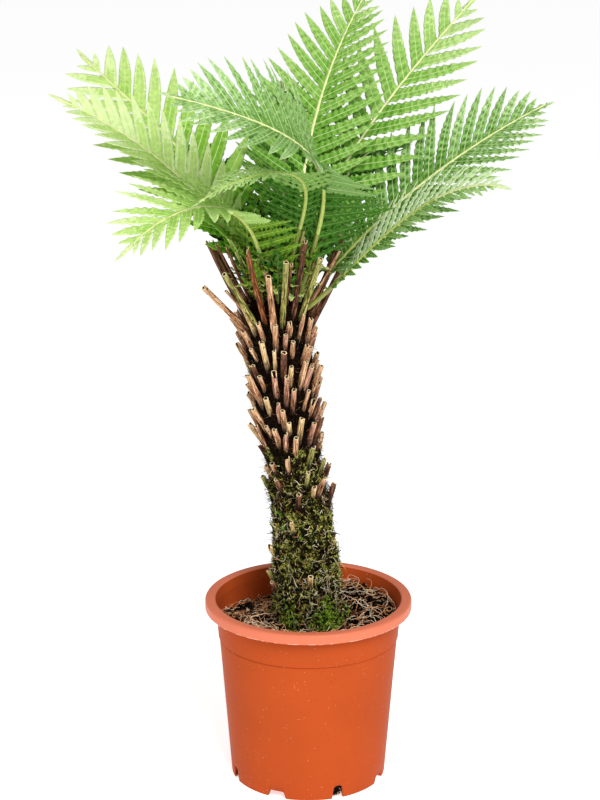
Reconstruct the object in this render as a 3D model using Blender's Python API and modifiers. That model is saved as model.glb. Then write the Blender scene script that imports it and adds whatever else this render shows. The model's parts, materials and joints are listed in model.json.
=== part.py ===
"""Silver lady fern: a young tree fern with a leaning, fibrous trunk, standing in a round nursery pot.

Metres, +Z up, -Y towards the viewer. The origin is the middle of the pot's flat underside, on the ground.
The pot, the soil, the trunk with its cut stalks, and each frond are separate solids.
"""

import math

import bpy
import bmesh
from mathutils import Matrix, Vector
from mathutils.bvhtree import BVHTree

# Driving dimensions
POT_HEIGHT = 0.190
RIM_RADIUS = 0.105
RIM_DEPTH = 0.010
RIM_WIDTH = 0.0095
WALL = 0.0018
NECK_RADIUS = 0.0940
STEP_HEIGHT = 0.150
STEP_RADIUS = 0.0907
STEP_DEPTH = 0.0010
FOOT_RADIUS = 0.0790
FOOT_WIDTH = 0.0040
FLOOR_HEIGHT = 0.0105
PAD_RADIUS = 0.0210
PAD_SLOPE = 0.0030
RIM_EDGE = 0.0016
LIP_EDGE = 0.0012
LIP_SLOPE = 0.0008
STEP_SLOPE = 0.0010
POT_SIDES = 48
NOTCH_TURN = 90
NOTCH_INNER = 0.008
NOTCH_REACH = 0.020
NOTCH_BELOW = 0.005
NOTCH_CORNER_STEPS = 3
DRAIN_HOLE = dict(azimuth=22, foot_width=0.0125, top_width=0.0095, height=0.0145, corner=0.0040)
FOOT_ARCH = dict(azimuth=66, foot_width=0.0200, top_width=0.0165, height=0.0080, corner=0.0022)

GAP = 0.0003
MERGE_REACH = 0.00001
SOIL_LEVEL = 0.165
SOIL_FLAT_RADIUS = 0.048
SOIL_SLOPE = 0.018
SOIL_UNEVEN = 0.0012
SOIL_STEP_ROOM = 0.0020
SOIL_RINGS = 5
SOIL_SIDES = 24
SOIL_MOUNDS = ((52, 0.0100, 0.9), (195, 0.0065, 0.8), (135, -0.0090, 0.7), (285, -0.0040, 0.9))

TRUNK_SIDES = 20
TRUNK_RINGS = 12
TRUNK_TOP = 0.500
TRUNK_DOME = ((0.0045, 0.72), (0.0065, 0.35))
# The trunk at shares of its height: how far its middle stands to the side, and its radius.
TRUNK_FORM = (
    (0.000, 0.0037, 0.0400),
    (0.060, -0.0010, 0.0345),
    (0.210, -0.0024, 0.0338),
    (0.375, -0.0075, 0.0304),
    (0.500, -0.0145, 0.0262),
    (0.615, -0.0194, 0.0268),
    (0.725, -0.0242, 0.0295),
    (0.890, -0.0290, 0.0312),
    (1.000, -0.0300, 0.0315),
)

STUB_COUNT = 56
STUB_FOOT, STUB_HEAD = 0.335, 0.468
STUB_LENGTH = 0.031
STUB_RADIUS = 0.0030
STUB_SPREAD = 24
STUB_SINK = 0.0045
STUB_UNEVEN = dict(turn=5, spread=4, length=0.25, radius=0.12)
LOW_STUB_COUNT = 12
LOW_STUB_FOOT, LOW_STUB_HEAD = 0.195, 0.330
LOW_STUB_LENGTH = 0.013
GOLDEN_ANGLE = 137.508

STALK_RADIUS = 0.0029
STALK_SINK = 0.008
STALK_SHIFTS = (0, 4, -4, 8, -8, 12, -12, 16, -16)
# The long cut stalks: compass heading, height of the foot, angle over the level, and length.
STALKS = (
    dict(at=277, up=0.470, out=66, length=0.090),
    dict(at=315, up=0.470, out=67, length=0.089),
    dict(at=226, up=0.470, out=53, length=0.086),
    dict(at=198, up=0.462, out=47, length=0.078),
    dict(at=181, up=0.464, out=63, length=0.104),
    dict(at=160, up=0.466, out=60, length=0.098),
    dict(at=245, up=0.474, out=60, length=0.104),
    dict(at=0, up=0.468, out=68, length=0.104),
    dict(at=342, up=0.458, out=64, length=0.082),
    dict(at=262, up=0.462, out=62, length=0.088),
    dict(at=300, up=0.476, out=72, length=0.100),
    dict(at=30, up=0.468, out=58, length=0.094),
    dict(at=58, up=0.462, out=54, length=0.088),
    dict(at=88, up=0.468, out=60, length=0.100),
    dict(at=112, up=0.460, out=52, length=0.084),
    dict(at=136, up=0.468, out=64, length=0.096),
)
STALK_ROOM = 0.0015
STALK_PROBES = 20
STALK_FIRST_PROBE = 4
ROD_SIDES = 6
ROD_TAPER = 0.85
SOCKET_SIDES = 10
SOCKET_LENGTH = 0.018
SOCKET_EASE = 1.06

CROWN = Vector((-0.030, 0.0, 0.500))
CROWN_FALL = 0.25
BARE_STALK = 0.13
SHORTEST_LEAFLET = 0.24
LEAFLET_FULLNESS = 0.6
LONGEST_BELOW = 0.05
LEAFLET_SPACING = 0.0140
LEAFLET_WIDTH = 0.78
LEAFLET_SLENDER = 0.22
LEAFLET_WIDEST = 0.42
LEAFLET_THICK = 0.0010
LEAFLET_ANGLES = (70, 38)
LEAFLET_DROOP = 0.05
LEAFLET_ROOM = 0.0008
LEAFLET_FOOT_ROOM = 0.003
RIB_PROBE_STEP = 6
RIB_RADIUS = 0.0027
RIB_TIP_RADIUS = 0.0007
RIB_TAPER = 0.8
RIB_ROOM = 0.001
END_LEAFLET = 0.024
BARE_STATIONS = 3
ROLL_REACH = 0.35
PATH_STEPS = 120
SHARP_ANGLE = math.radians(40)

# Each frond: its compass heading at the foot and at the tip, its steepness at the foot, middle and tip, its
# length, the roll of its blade, the fold of its two rows of leaflets, where its foot stands in the crown, and
# its longest leaflet, with the spacing of its leaflets and their angles to the rib where they differ from the
# others'. A frond that bends round a wide gap is parted into two solids at the bend.
FRONDS = {
    "frond_left_upper": dict(
        head=(148, 146), rise=(76, 40, 35), length=0.335, roll=32, fold=8, ring=0.016, at=148, leaf=0.084,
        spacing=0.0205,
    ),
    "frond_left_middle": dict(
        head=(190, 185), rise=(76, 45, 24), length=0.303, roll=38, fold=25, ring=0.020, at=190, leaf=0.060,
        spacing=0.0150,
    ),
    "frond_left_lower": dict(
        head=(262, 206), rise=(86, 22, -52), length=0.290, roll=18, fold=12, ring=0.020, at=232, leaf=0.076,
        part_at=0.45,
    ),
    "frond_centre_left": dict(
        head=(330, 165), rise=(78, 40, 10), length=0.380, roll=50, fold=20, ring=0.024, at=322, leaf=0.086,
        part_at=0.45,
    ),
    "frond_top_middle": dict(
        head=(84, 40), rise=(74, 62, 48), length=0.340, roll=-12, fold=10, ring=0.014, at=350, leaf=0.076,
        angles=(78, 44),
    ),
    "frond_top_right": dict(
        head=(33, 30), rise=(74, 49, 42), length=0.372, roll=-32, fold=10, ring=0.014, at=50, leaf=0.082,
        spacing=0.0160,
    ),
    "frond_right_upper": dict(
        head=(5, 5), rise=(54, 39, 26), length=0.318, roll=-36, fold=14, ring=0.026, at=10, leaf=0.080
    ),
    "frond_right_lower": dict(
        head=(345, 315), rise=(40, 40, -8), length=0.275, roll=-30, fold=10, ring=0.028, at=342, leaf=0.054,
        spacing=0.0100,
    ),
    "frond_front": dict(
        head=(335, 185), rise=(86, 34, -40), length=0.320, roll=0, fold=4, ring=0.022, at=285, leaf=0.052,
        spacing=0.0110, part_at=0.50,
    ),
    "frond_back_middle": dict(
        head=(75, 98), rise=(74, 50, 5), length=0.280, roll=0, fold=10, ring=0.016, at=100, leaf=0.060
    ),
    "frond_back_right": dict(
        head=(55, 70), rise=(62, 25, -20), length=0.300, roll=0, fold=10, ring=0.026, at=62, leaf=0.060
    ),
    "frond_back_left": dict(
        head=(128, 122), rise=(62, 25, -25), length=0.300, roll=0, fold=10, ring=0.024, at=118, leaf=0.060
    ),
}

COLOURS = {
    "pot": ("#D2602F", 0.45),
    "soil": ("#2E2018", 0.95),
    "trunk": ("#5A4330", 0.90),
    "frond": ("#7DA656", 0.60),
}


# Scene and materials
def clear_scene():
    for obj in list(bpy.data.objects):
        bpy.data.objects.remove(obj, do_unlink=True)


def new_collection(name):
    collection = bpy.data.collections.new(name)
    bpy.context.scene.collection.children.link(collection)
    return collection


def linear(hex_colour):
    """A hex colour as linear red, green, blue and alpha."""
    values = [int(hex_colour[i:i + 2], 16) / 255 for i in (1, 3, 5)]
    return [v / 12.92 if v <= 0.04045 else ((v + 0.055) / 1.055) ** 2.4 for v in values] + [1.0]


def new_material(name, hex_colour, roughness):
    material = bpy.data.materials.new(name)
    material.use_nodes = True
    shader = material.node_tree.nodes["Principled BSDF"]
    shader.inputs["Base Color"].default_value = linear(hex_colour)
    shader.inputs["Roughness"].default_value = roughness
    shader.inputs["Metallic"].default_value = 0.0
    return material


def add_object(name, mesh, collection, material=None):
    obj = bpy.data.objects.new(name, mesh)
    collection.objects.link(obj)
    if material:
        mesh.materials.append(material)
    return obj


def as_mesh(name, bm):
    mesh = bpy.data.meshes.new(name)
    bm.to_mesh(mesh)
    bm.free()
    return mesh


def hide_as_guide(obj):
    obj.hide_render = True
    obj.display_type = "WIRE"


def bake(obj):
    """Replace an object's modifiers by the mesh that they make."""
    bpy.context.view_layer.update()
    graph = bpy.context.evaluated_depsgraph_get()
    mesh = bpy.data.meshes.new_from_object(obj.evaluated_get(graph))
    obj.modifiers.clear()
    obj.data = mesh


def boolean(obj, operation, collection):
    modifier = obj.modifiers.new(operation.title(), "BOOLEAN")
    modifier.operation = operation
    modifier.operand_type = "COLLECTION"
    modifier.collection = collection
    modifier.solver = "EXACT"


def turned(name, profile, sides, collection, material):
    """A body turned round +Z from an outline of (radius, height) points."""
    bm = bmesh.new()
    verts = [bm.verts.new((radius, 0.0, height)) for radius, height in profile]
    for first, second in zip(verts, verts[1:]):
        bm.edges.new((first, second))
    obj = add_object(name, as_mesh(name, bm), collection, material)
    screw = obj.modifiers.new("Turn", "SCREW")
    screw.steps = screw.render_steps = sides
    screw.use_merge_vertices = True
    screw.merge_threshold = 0.0001
    screw.use_smooth_shade = True
    return obj


def wobble(index, salt):
    """A repeatable number from -1 to 1 for the given index."""
    value = math.sin(index * 12.9898 + salt * 78.233) * 43758.5453
    return 2.0 * (value - math.floor(value)) - 1.0


def polar(azimuth, radius, height=0.0):
    turn = math.radians(azimuth)
    return Vector((radius * math.cos(turn), radius * math.sin(turn), height))


# Pot
def wall_radius(height):
    """Outer radius of the pot's wall, which widens upwards and steps out below the rim."""
    if height < STEP_HEIGHT:
        return FOOT_RADIUS + (STEP_RADIUS - FOOT_RADIUS) * height / STEP_HEIGHT
    neck = POT_HEIGHT - RIM_DEPTH
    return STEP_RADIUS + STEP_DEPTH + (NECK_RADIUS - STEP_RADIUS - STEP_DEPTH) * (height - STEP_HEIGHT) / (
        neck - STEP_HEIGHT
    )


def pot_profile():
    """From the middle of the inside floor, up the inside, over the rolled rim and down the outside to the foot."""
    inner_floor = FLOOR_HEIGHT + WALL
    neck = POT_HEIGHT - RIM_DEPTH
    lip = RIM_RADIUS - RIM_WIDTH
    below_step = STEP_HEIGHT - 1.5 * STEP_SLOPE
    over_step = STEP_HEIGHT + 0.5 * STEP_SLOPE
    return [
        (0.0, WALL),
        (PAD_RADIUS - WALL, WALL),
        (PAD_RADIUS + PAD_SLOPE / 2, inner_floor),
        (wall_radius(inner_floor) - WALL, inner_floor),
        (wall_radius(below_step) - WALL, below_step),
        (wall_radius(over_step) - WALL, over_step),
        (NECK_RADIUS - WALL, neck),
        (lip - LIP_SLOPE, POT_HEIGHT - WALL),
        (lip + LIP_EDGE, POT_HEIGHT),
        (RIM_RADIUS - RIM_EDGE, POT_HEIGHT),
        (RIM_RADIUS, POT_HEIGHT - RIM_EDGE),
        (RIM_RADIUS, neck),
        (RIM_RADIUS - WALL, neck),
        (RIM_RADIUS - WALL, POT_HEIGHT - WALL),
        (lip + WALL + LIP_SLOPE, POT_HEIGHT - WALL),
        (NECK_RADIUS, neck),
        (wall_radius(STEP_HEIGHT), STEP_HEIGHT),
        (STEP_RADIUS, STEP_HEIGHT - STEP_SLOPE),
        (FOOT_RADIUS, 0.0),
        (FOOT_RADIUS - FOOT_WIDTH, 0.0),
        (FOOT_RADIUS - FOOT_WIDTH, FLOOR_HEIGHT),
        (PAD_RADIUS + PAD_SLOPE, FLOOR_HEIGHT),
        (PAD_RADIUS, 0.0),
        (0.0, 0.0),
    ]


def notch_outline(foot_width, top_width, height, corner):
    """An arch with rounded upper corners, as points across and up from below the ground."""
    arcs = []
    for side, first_turn in ((-1, 180), (1, 90)):
        middle = Vector((side * (top_width / 2 - corner), height - corner))
        for step in range(NOTCH_CORNER_STEPS + 1):
            turn = math.radians(first_turn - 90 * step / NOTCH_CORNER_STEPS)
            arcs.append(middle + corner * Vector((math.cos(turn), math.sin(turn))))
    below = Vector((0.0, -NOTCH_BELOW))
    left, right = Vector((-foot_width / 2, 0.0)), Vector((foot_width / 2, 0.0))
    return [left + below, left] + arcs + [right, right + below]


def notch_cutter(name, azimuth, outline, collection):
    """A prism of the notch's outline that passes through the pot's foot at the given azimuth."""
    bm = bmesh.new()
    face = bm.faces.new([bm.verts.new((FOOT_RADIUS - NOTCH_INNER, across, up)) for across, up in outline])
    made = bmesh.ops.extrude_face_region(bm, geom=[face])
    outer = [item for item in made["geom"] if isinstance(item, bmesh.types.BMVert)]
    bmesh.ops.translate(bm, verts=outer, vec=(NOTCH_REACH, 0.0, 0.0))
    bmesh.ops.recalc_face_normals(bm, faces=bm.faces)
    obj = add_object(name, as_mesh(name, bm), collection)
    obj.rotation_euler.z = math.radians(azimuth)
    hide_as_guide(obj)


def build_pot(collection, cutters, material):
    pot = turned("pot", pot_profile(), POT_SIDES, collection, material)
    for kind, form in (("drain_hole", DRAIN_HOLE), ("foot_arch", FOOT_ARCH)):
        outline = notch_outline(form["foot_width"], form["top_width"], form["height"], form["corner"])
        for turn in range(0, 360, NOTCH_TURN):
            notch_cutter(f"{kind}_{turn}", form["azimuth"] + turn, outline, cutters)
    boolean(pot, "DIFFERENCE", cutters)
    return pot


# Soil
def soil_rise(x, y):
    """Height of the soil above its level: flat under the trunk, mounded and hollowed towards the wall."""
    radius = math.hypot(x, y)
    azimuth = math.degrees(math.atan2(y, x))
    away = min(1.0, max(0.0, (radius - SOIL_FLAT_RADIUS) / SOIL_SLOPE))
    rise = SOIL_UNEVEN * math.sin(170 * x + 2.0) * math.cos(140 * y)
    for middle, height, width in SOIL_MOUNDS:
        turn = math.radians((azimuth - middle + 180) % 360 - 180)
        rise += height * math.exp(-(turn / width) ** 2)
    return away * away * (3 - 2 * away) * rise


def build_soil(collection, material):
    floor = FLOOR_HEIGHT + WALL + GAP
    rim = wall_radius(SOIL_LEVEL) - WALL - GAP
    level = SOIL_LEVEL - GAP
    outward = (rim - SOIL_FLAT_RADIUS) / SOIL_RINGS
    top = [(0.0, level)] + [(SOIL_FLAT_RADIUS + outward * ring, level) for ring in range(SOIL_RINGS + 1)]
    below_step = STEP_HEIGHT - SOIL_STEP_ROOM
    side = [(wall_radius(below_step) - WALL - GAP, below_step), (wall_radius(floor) - WALL - GAP, floor)]
    soil = turned("soil", top + side + [(0.0, floor)], SOIL_SIDES, collection, material)
    bake(soil)
    for vert in soil.data.vertices:
        if vert.co.z > STEP_HEIGHT:
            vert.co.z += soil_rise(vert.co.x, vert.co.y)
            inside = wall_radius(vert.co.z) - WALL - GAP
            reach = math.hypot(vert.co.x, vert.co.y)
            if reach > inside or reach > rim - MERGE_REACH:
                vert.co.xy *= inside / reach
    soil.data.shade_smooth()
    return soil


# Trunk
def trunk_form(height):
    """Sideways place of the trunk's middle and its radius at a height above the origin."""
    part = (height - SOIL_LEVEL) / (TRUNK_TOP - SOIL_LEVEL)
    for low, high in zip(TRUNK_FORM, TRUNK_FORM[1:]):
        if part <= high[0] or high is TRUNK_FORM[-1]:
            share = (part - low[0]) / (high[0] - low[0])
            return low[1] + (high[1] - low[1]) * share, low[2] + (high[2] - low[2]) * share


def trunk_lump(azimuth, height):
    turn = math.radians(azimuth)
    return 1 + 0.035 * math.sin(3 * turn + 40 * height) + 0.025 * math.sin(5 * turn - 65 * height)


def trunk_point(azimuth, height, share=1.0):
    """A point of the trunk's lumpy skin, or of its smooth dome where it is drawn in to a share of the radius."""
    middle, radius = trunk_form(min(height, TRUNK_TOP))
    lump = trunk_lump(azimuth, height) if share == 1.0 else 1.0
    return Vector((middle, 0, height)) + polar(azimuth, radius * lump * share)


def trunk_body():
    """The trunk from its flat foot at the soil to its domed top, ring by ring."""
    bm = bmesh.new()
    foot = bmesh.ops.create_circle(bm, cap_ends=True, segments=TRUNK_SIDES, radius=1.0)
    for side, vert in enumerate(foot["verts"]):
        vert.co = trunk_point(360 * side / TRUNK_SIDES, SOIL_LEVEL)
    end = bm.faces[:][0]
    step = (TRUNK_TOP - SOIL_LEVEL) / TRUNK_RINGS
    rings = [(SOIL_LEVEL + step * (ring + 1), 1.0) for ring in range(TRUNK_RINGS)]
    rings += [(TRUNK_TOP + rise, share) for rise, share in TRUNK_DOME]
    for height, share in rings:
        end = bmesh.ops.extrude_discrete_faces(bm, faces=[end])["faces"][0]
        for vert in end.verts:
            middle = trunk_form(min(vert.co.z, TRUNK_TOP))[0]
            azimuth = math.degrees(math.atan2(vert.co.y, vert.co.x - middle))
            vert.co = trunk_point(azimuth, height, share)
    bmesh.ops.holes_fill(bm, edges=bm.edges)
    bmesh.ops.recalc_face_normals(bm, faces=bm.faces)
    return bm


def stub(index, height, length):
    """Foot, direction, length and radius of one cut-off frond base."""
    azimuth = GOLDEN_ANGLE * index + STUB_UNEVEN["turn"] * wobble(index, 1)
    middle, radius = trunk_form(height)
    spread = math.radians(STUB_SPREAD + STUB_UNEVEN["spread"] * wobble(index, 2))
    along = polar(azimuth, math.sin(spread), math.cos(spread))
    foot = Vector((middle, 0, height)) + polar(azimuth, radius - STUB_SINK)
    length *= 1 + STUB_UNEVEN["length"] * wobble(index, 3)
    return foot, along, length, STUB_RADIUS * (1 + STUB_UNEVEN["radius"] * wobble(index, 4))


def stubs():
    """The cut-off frond bases in a spiral up the trunk: a few worn ones low down, then the close upper ones."""
    for index in range(LOW_STUB_COUNT):
        height = LOW_STUB_FOOT + (LOW_STUB_HEAD - LOW_STUB_FOOT) * (index + 0.5) / LOW_STUB_COUNT
        yield stub(index + STUB_COUNT, height, LOW_STUB_LENGTH)
    for index in range(STUB_COUNT):
        height = STUB_FOOT + (STUB_HEAD - STUB_FOOT) * (index + 0.5) / STUB_COUNT
        yield stub(index, height, STUB_LENGTH)


def stalks(ribs):
    """The long cut stalks round the crown. Each turns aside by a few degrees where a frond's rib is in its way."""
    room = STALK_RADIUS + RIB_RADIUS * math.sqrt(2) + STALK_ROOM
    for form in STALKS:
        middle, radius = trunk_form(form["up"])
        out = math.radians(form["out"])
        for shift in STALK_SHIFTS:
            azimuth = form["at"] + shift
            along = polar(azimuth, math.cos(out), math.sin(out))
            foot = Vector((middle, 0, form["up"])) + polar(azimuth, radius - STALK_SINK)
            step = along * form["length"] / STALK_PROBES
            points = [foot + step * count for count in range(STALK_FIRST_PROBE, STALK_PROBES + 1)]
            if all((point - other).length > room for point in points for rib in ribs for other in rib):
                yield foot, along, form["length"], STALK_RADIUS
                break


def rod(name, foot, along, length, radius, sides, collection):
    """A round rod that thins a little towards its far end."""
    bm = bmesh.new()
    turn = Vector((0, 0, 1)).rotation_difference(along).to_matrix().to_4x4()
    place = Matrix.Translation(foot + along * length / 2) @ turn
    bmesh.ops.create_cone(
        bm, cap_ends=True, segments=sides, radius1=radius, radius2=radius * ROD_TAPER, depth=length, matrix=place
    )
    hide_as_guide(add_object(name, as_mesh(name, bm), collection))


def socket(name, path, collection):
    """A round hole for the foot of a frond, wider and deeper than it by the gap."""
    start, along = path[0]["point"], path[0]["along"]
    radius = (RIB_RADIUS * math.sqrt(2) * SOCKET_EASE + GAP) / ROD_TAPER
    rod(name, start - along * GAP, along, SOCKET_LENGTH, radius, SOCKET_SIDES, collection)


def build_trunk(paths, collection, material):
    trunk = add_object("trunk", as_mesh("trunk", trunk_body()), collection, material)
    joined = new_collection("trunk_pieces")
    sockets = new_collection("trunk_sockets")
    for index, (foot, along, length, radius) in enumerate(stubs()):
        rod(f"stub_{index}", foot, along, length, radius, ROD_SIDES, joined)
    ribs = [[station["point"] for station in path[:PATH_STEPS // 2:2]] for path in paths.values()]
    for index, (foot, along, length, radius) in enumerate(stalks(ribs)):
        rod(f"stalk_{index}", foot, along, length, radius, ROD_SIDES, joined)
    for name, path in paths.items():
        socket(f"socket_{name}", path, sockets)
    boolean(trunk, "UNION", joined)
    boolean(trunk, "DIFFERENCE", sockets)
    bake(trunk)
    for helper in (joined, sockets):
        for obj in list(helper.objects):
            bpy.data.objects.remove(obj, do_unlink=True)
        bpy.data.collections.remove(helper)
    trunk.data.shade_smooth()
    trunk.data.set_sharp_from_angle(angle=SHARP_ANGLE)
    return trunk


# Fronds
def steepness(rise, share):
    """A smooth curve through the steepness at the foot, the middle and the tip."""
    foot, middle, tip = rise
    return foot * (1 - share) * (1 - 2 * share) + middle * 4 * share * (1 - share) + tip * share * (2 * share - 1)


def frond_path(form):
    """The rib as stations, each with its point and its three directions: along, side and up."""
    point = CROWN + polar(form["at"], form["ring"], -CROWN_FALL * form["ring"])
    path = []
    for step in range(PATH_STEPS + 1):
        share = step / PATH_STEPS
        rise = math.radians(steepness(form["rise"], share))
        turn = form["head"][0] + (form["head"][1] - form["head"][0]) * share
        along = polar(turn, math.cos(rise), math.sin(rise))
        up = polar(turn, -math.sin(rise), math.cos(rise))
        side = along.cross(up)
        roll = math.radians(form["roll"]) * min(1.0, share / ROLL_REACH)
        side, up = side * math.cos(roll) + up * math.sin(roll), up * math.cos(roll) - side * math.sin(roll)
        path.append(dict(point=point.copy(), along=along, side=side, up=up, share=share))
        point = point + along * form["length"] / PATH_STEPS
    return path


def station_at(path, share):
    place = min(share, 1.0) * PATH_STEPS
    low = min(PATH_STEPS - 1, int(place))
    mix = place - low
    first, second = path[low], path[low + 1]
    return {key: first[key] + (second[key] - first[key]) * mix for key in ("point", "along", "side", "up", "share")}


def rib_radius(share):
    return RIB_TIP_RADIUS + (RIB_RADIUS - RIB_TIP_RADIUS) * (1 - share) ** RIB_TAPER


def blade_share(form):
    """The share of a frond's length that carries leaflets, between the bare stalk and the end leaflet."""
    return 1 - BARE_STALK - END_LEAFLET / form["length"]


def leaflet_size(form, rank):
    """Length of a leaflet by its rank along the blade: short at both ends, longest just below the middle."""
    rise = math.sin(math.pi * min(1.0, rank + LONGEST_BELOW)) ** LEAFLET_FULLNESS
    return form["leaf"] * (SHORTEST_LEAFLET + (1 - SHORTEST_LEAFLET) * rise)


def leaflet(form, path, rank, spacing, side):
    """The middle line of a leaflet, its directions and its half width."""
    share = BARE_STALK + blade_share(form) * rank
    station = station_at(path, share)
    low, high = form.get("angles", LEAFLET_ANGLES)
    angle = math.radians(low + (high - low) * rank)
    fold = math.radians(form["fold"])
    out = (station["side"] * side * math.cos(fold) + station["up"] * math.sin(fold)).normalized()
    along = station["along"].normalized()
    line = along * math.cos(angle) + out * math.sin(angle)
    across = along * math.sin(angle) - out * math.cos(angle)
    thick = across.cross(line) * -side
    length = leaflet_size(form, rank)
    half = min(LEAFLET_WIDTH * spacing * math.sin(angle), LEAFLET_SLENDER * length) / 2
    root = station["point"] + out * rib_radius(share)
    widest = root + line * length * LEAFLET_WIDEST
    tip = root + line * length - thick * length * LEAFLET_DROOP
    return dict(root=root, widest=widest, tip=tip, across=across, thick=thick, half=half)


def leaflet_probe(shape):
    """A slightly thicker and longer copy of a leaflet, to test what it would touch."""
    extra = LEAFLET_ROOM
    along = (shape["tip"] - shape["widest"]).normalized()
    corners = []
    for centre, half in (
        (shape["root"] + along * LEAFLET_FOOT_ROOM, shape["half"]),
        (shape["widest"], shape["half"] + extra),
        (shape["tip"] + along * extra, extra),
    ):
        for a, b in ((-1, -1), (1, -1), (1, 1), (-1, 1)):
            lift = LEAFLET_THICK / 2 + extra
            corners.append(centre + shape["across"] * a * half + shape["thick"] * b * lift)
    faces = [(0, 1, 2, 3), (8, 11, 10, 9)]
    for ring in (0, 4):
        faces += [(ring + i, ring + (i + 1) % 4, ring + 4 + (i + 1) % 4, ring + 4 + i) for i in range(4)]
    return BVHTree.FromPolygons(corners, faces)


def carry(bm, face, centre, across, half_across, up, half_up):
    """Extrude a four-sided face to a new place, each corner keeping its side and its height."""
    middle = face.calc_center_median()
    end = bmesh.ops.extrude_discrete_faces(bm, faces=[face])["faces"][0]
    for vert in end.verts:
        offset = vert.co - middle
        sideways = math.copysign(half_across, offset.dot(across))
        upwards = math.copysign(half_up, offset.dot(up))
        vert.co = centre + across * sideways + up * upwards
    return end


def side_face(end, direction):
    """Of the faces round a newly extruded end, the one that looks in the given direction."""
    sides = [face for edge in end.edges for face in edge.link_faces if face is not end]
    for face in sides:
        face.normal_update()
    return max(sides, key=lambda face: face.normal.dot(direction))


def leaflet_pairs(form):
    """How many pairs of leaflets a frond has."""
    return round(form["length"] * blade_share(form) / form.get("spacing", LEAFLET_SPACING))


def rib_stations(form):
    """Shares of the length at which the rib has a ring of corners, and how many pairs of leaflets it carries."""
    count = leaflet_pairs(form)
    shares = [BARE_STALK * step / BARE_STATIONS for step in range(BARE_STATIONS)]
    return shares + [BARE_STALK + blade_share(form) * step / count for step in range(count + 1)], count


def build_frond(name, form, path, stretch, obstacles, collection, material):
    """The rib is carried from station to station, and each leaflet grows out of a side face of the rib.

    The stretch is the first and the last station: all of them, or those on one side of the frond's bend.
    """
    shares, count = rib_stations(form)
    first, last = stretch
    # Past the bend the rib starts a gap further on, clear of the part below.
    start = station_at(path, shares[first] + (GAP / form["length"] if first else 0))
    radius = rib_radius(shares[first])
    bm = bmesh.new()
    corners = [(-1, -1), (-1, 1), (1, 1), (1, -1)]
    verts = [bm.verts.new(start["point"] + (start["side"] * a + start["up"] * b) * radius) for a, b in corners]
    end = bm.faces.new(verts)
    grown = []
    for rank in range(first + 1, last + 1):
        here = station_at(path, shares[rank])
        radius = rib_radius(shares[rank])
        end = carry(bm, end, here["point"], here["side"], radius, here["up"], radius)
        leaf_rank = (rank - BARE_STATIONS - 0.5) / count
        if leaf_rank > 0:
            for side in (-1, 1):
                grown.append((side_face(end, here["side"] * side), leaf_rank, side))
    if last == len(shares) - 1:
        tip = path[-1]
        carry(bm, end, tip["point"], tip["side"], 0.0, tip["up"], LEAFLET_THICK / 2)
    spacing = form["length"] * blade_share(form) / count
    for face, rank, side in grown:
        shape = leaflet(form, path, rank, spacing, side)
        probe = leaflet_probe(shape)
        if any(probe.overlap(other) for other in obstacles):
            continue
        middle = carry(
            bm, face, shape["widest"], shape["across"], shape["half"], shape["thick"], LEAFLET_THICK / 2
        )
        carry(bm, middle, shape["tip"], shape["across"], 0.0, shape["thick"], LEAFLET_THICK / 4)
    bmesh.ops.remove_doubles(bm, verts=bm.verts, dist=MERGE_REACH)
    bmesh.ops.holes_fill(bm, edges=bm.edges)
    bmesh.ops.recalc_face_normals(bm, faces=bm.faces)
    frond = add_object(name, as_mesh(name, bm), collection, material)
    frond.data.shade_smooth()
    frond.data.set_sharp_from_angle(angle=SHARP_ANGLE)
    return frond


def rib_probe(path):
    """A rough square tube round a rib, wider than it by the gap, that leaflets of other fronds keep out of."""
    corners, faces = [], []
    stations = path[::RIB_PROBE_STEP]
    for station in stations:
        reach = rib_radius(station["share"]) + RIB_ROOM
        for a, b in ((-1, -1), (1, -1), (1, 1), (-1, 1)):
            corners.append(station["point"] + (station["side"] * a + station["up"] * b) * reach)
    for ring in range(len(stations) - 1):
        low = 4 * ring
        faces += [(low + i, low + (i + 1) % 4, low + 4 + (i + 1) % 4, low + 4 + i) for i in range(4)]
    return BVHTree.FromPolygons(corners, faces)


def mesh_tree(obj):
    verts = [vert.co.copy() for vert in obj.data.vertices]
    return BVHTree.FromPolygons(verts, [tuple(face.vertices) for face in obj.data.polygons])


def build_fronds(paths, trunk, collection, material):
    built = [mesh_tree(trunk)]
    ribs = {name: rib_probe(path) for name, path in paths.items()}
    for name, form in FRONDS.items():
        obstacles = built + [tree for other, tree in ribs.items() if other != name]
        shares = rib_stations(form)[0]
        end = len(shares) - 1
        bend = round(form["part_at"] * end) if "part_at" in form else end
        stretches = {name: (0, bend)}
        if bend < end:
            stretches[f"{name}_tip"] = (bend, end)
        for part_name, stretch in stretches.items():
            frond = build_frond(part_name, form, paths[name], stretch, obstacles, collection, material)
            built.append(mesh_tree(frond))


def main():
    clear_scene()
    fern = new_collection("silver_lady_fern")
    cutters = new_collection("cutters")
    materials = {name: new_material(name, *look) for name, look in COLOURS.items()}
    paths = {name: frond_path(form) for name, form in FRONDS.items()}
    build_pot(fern, cutters, materials["pot"])
    build_soil(fern, materials["soil"])
    trunk = build_trunk(paths, fern, materials["trunk"])
    build_fronds(paths, trunk, fern, materials["frond"])


main()
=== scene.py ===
"""Silver lady fern in its nursery pot: the finish of every surface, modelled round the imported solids.

Metres, +Z up, -Y towards the viewer. The origin is the middle of the pot's underside.
"""

import json
import math

import bmesh
import bpy
import numpy as np
from bpy.props import FloatProperty, FloatVectorProperty, IntProperty, PointerProperty
from mathutils import Matrix, Vector, noise

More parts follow.
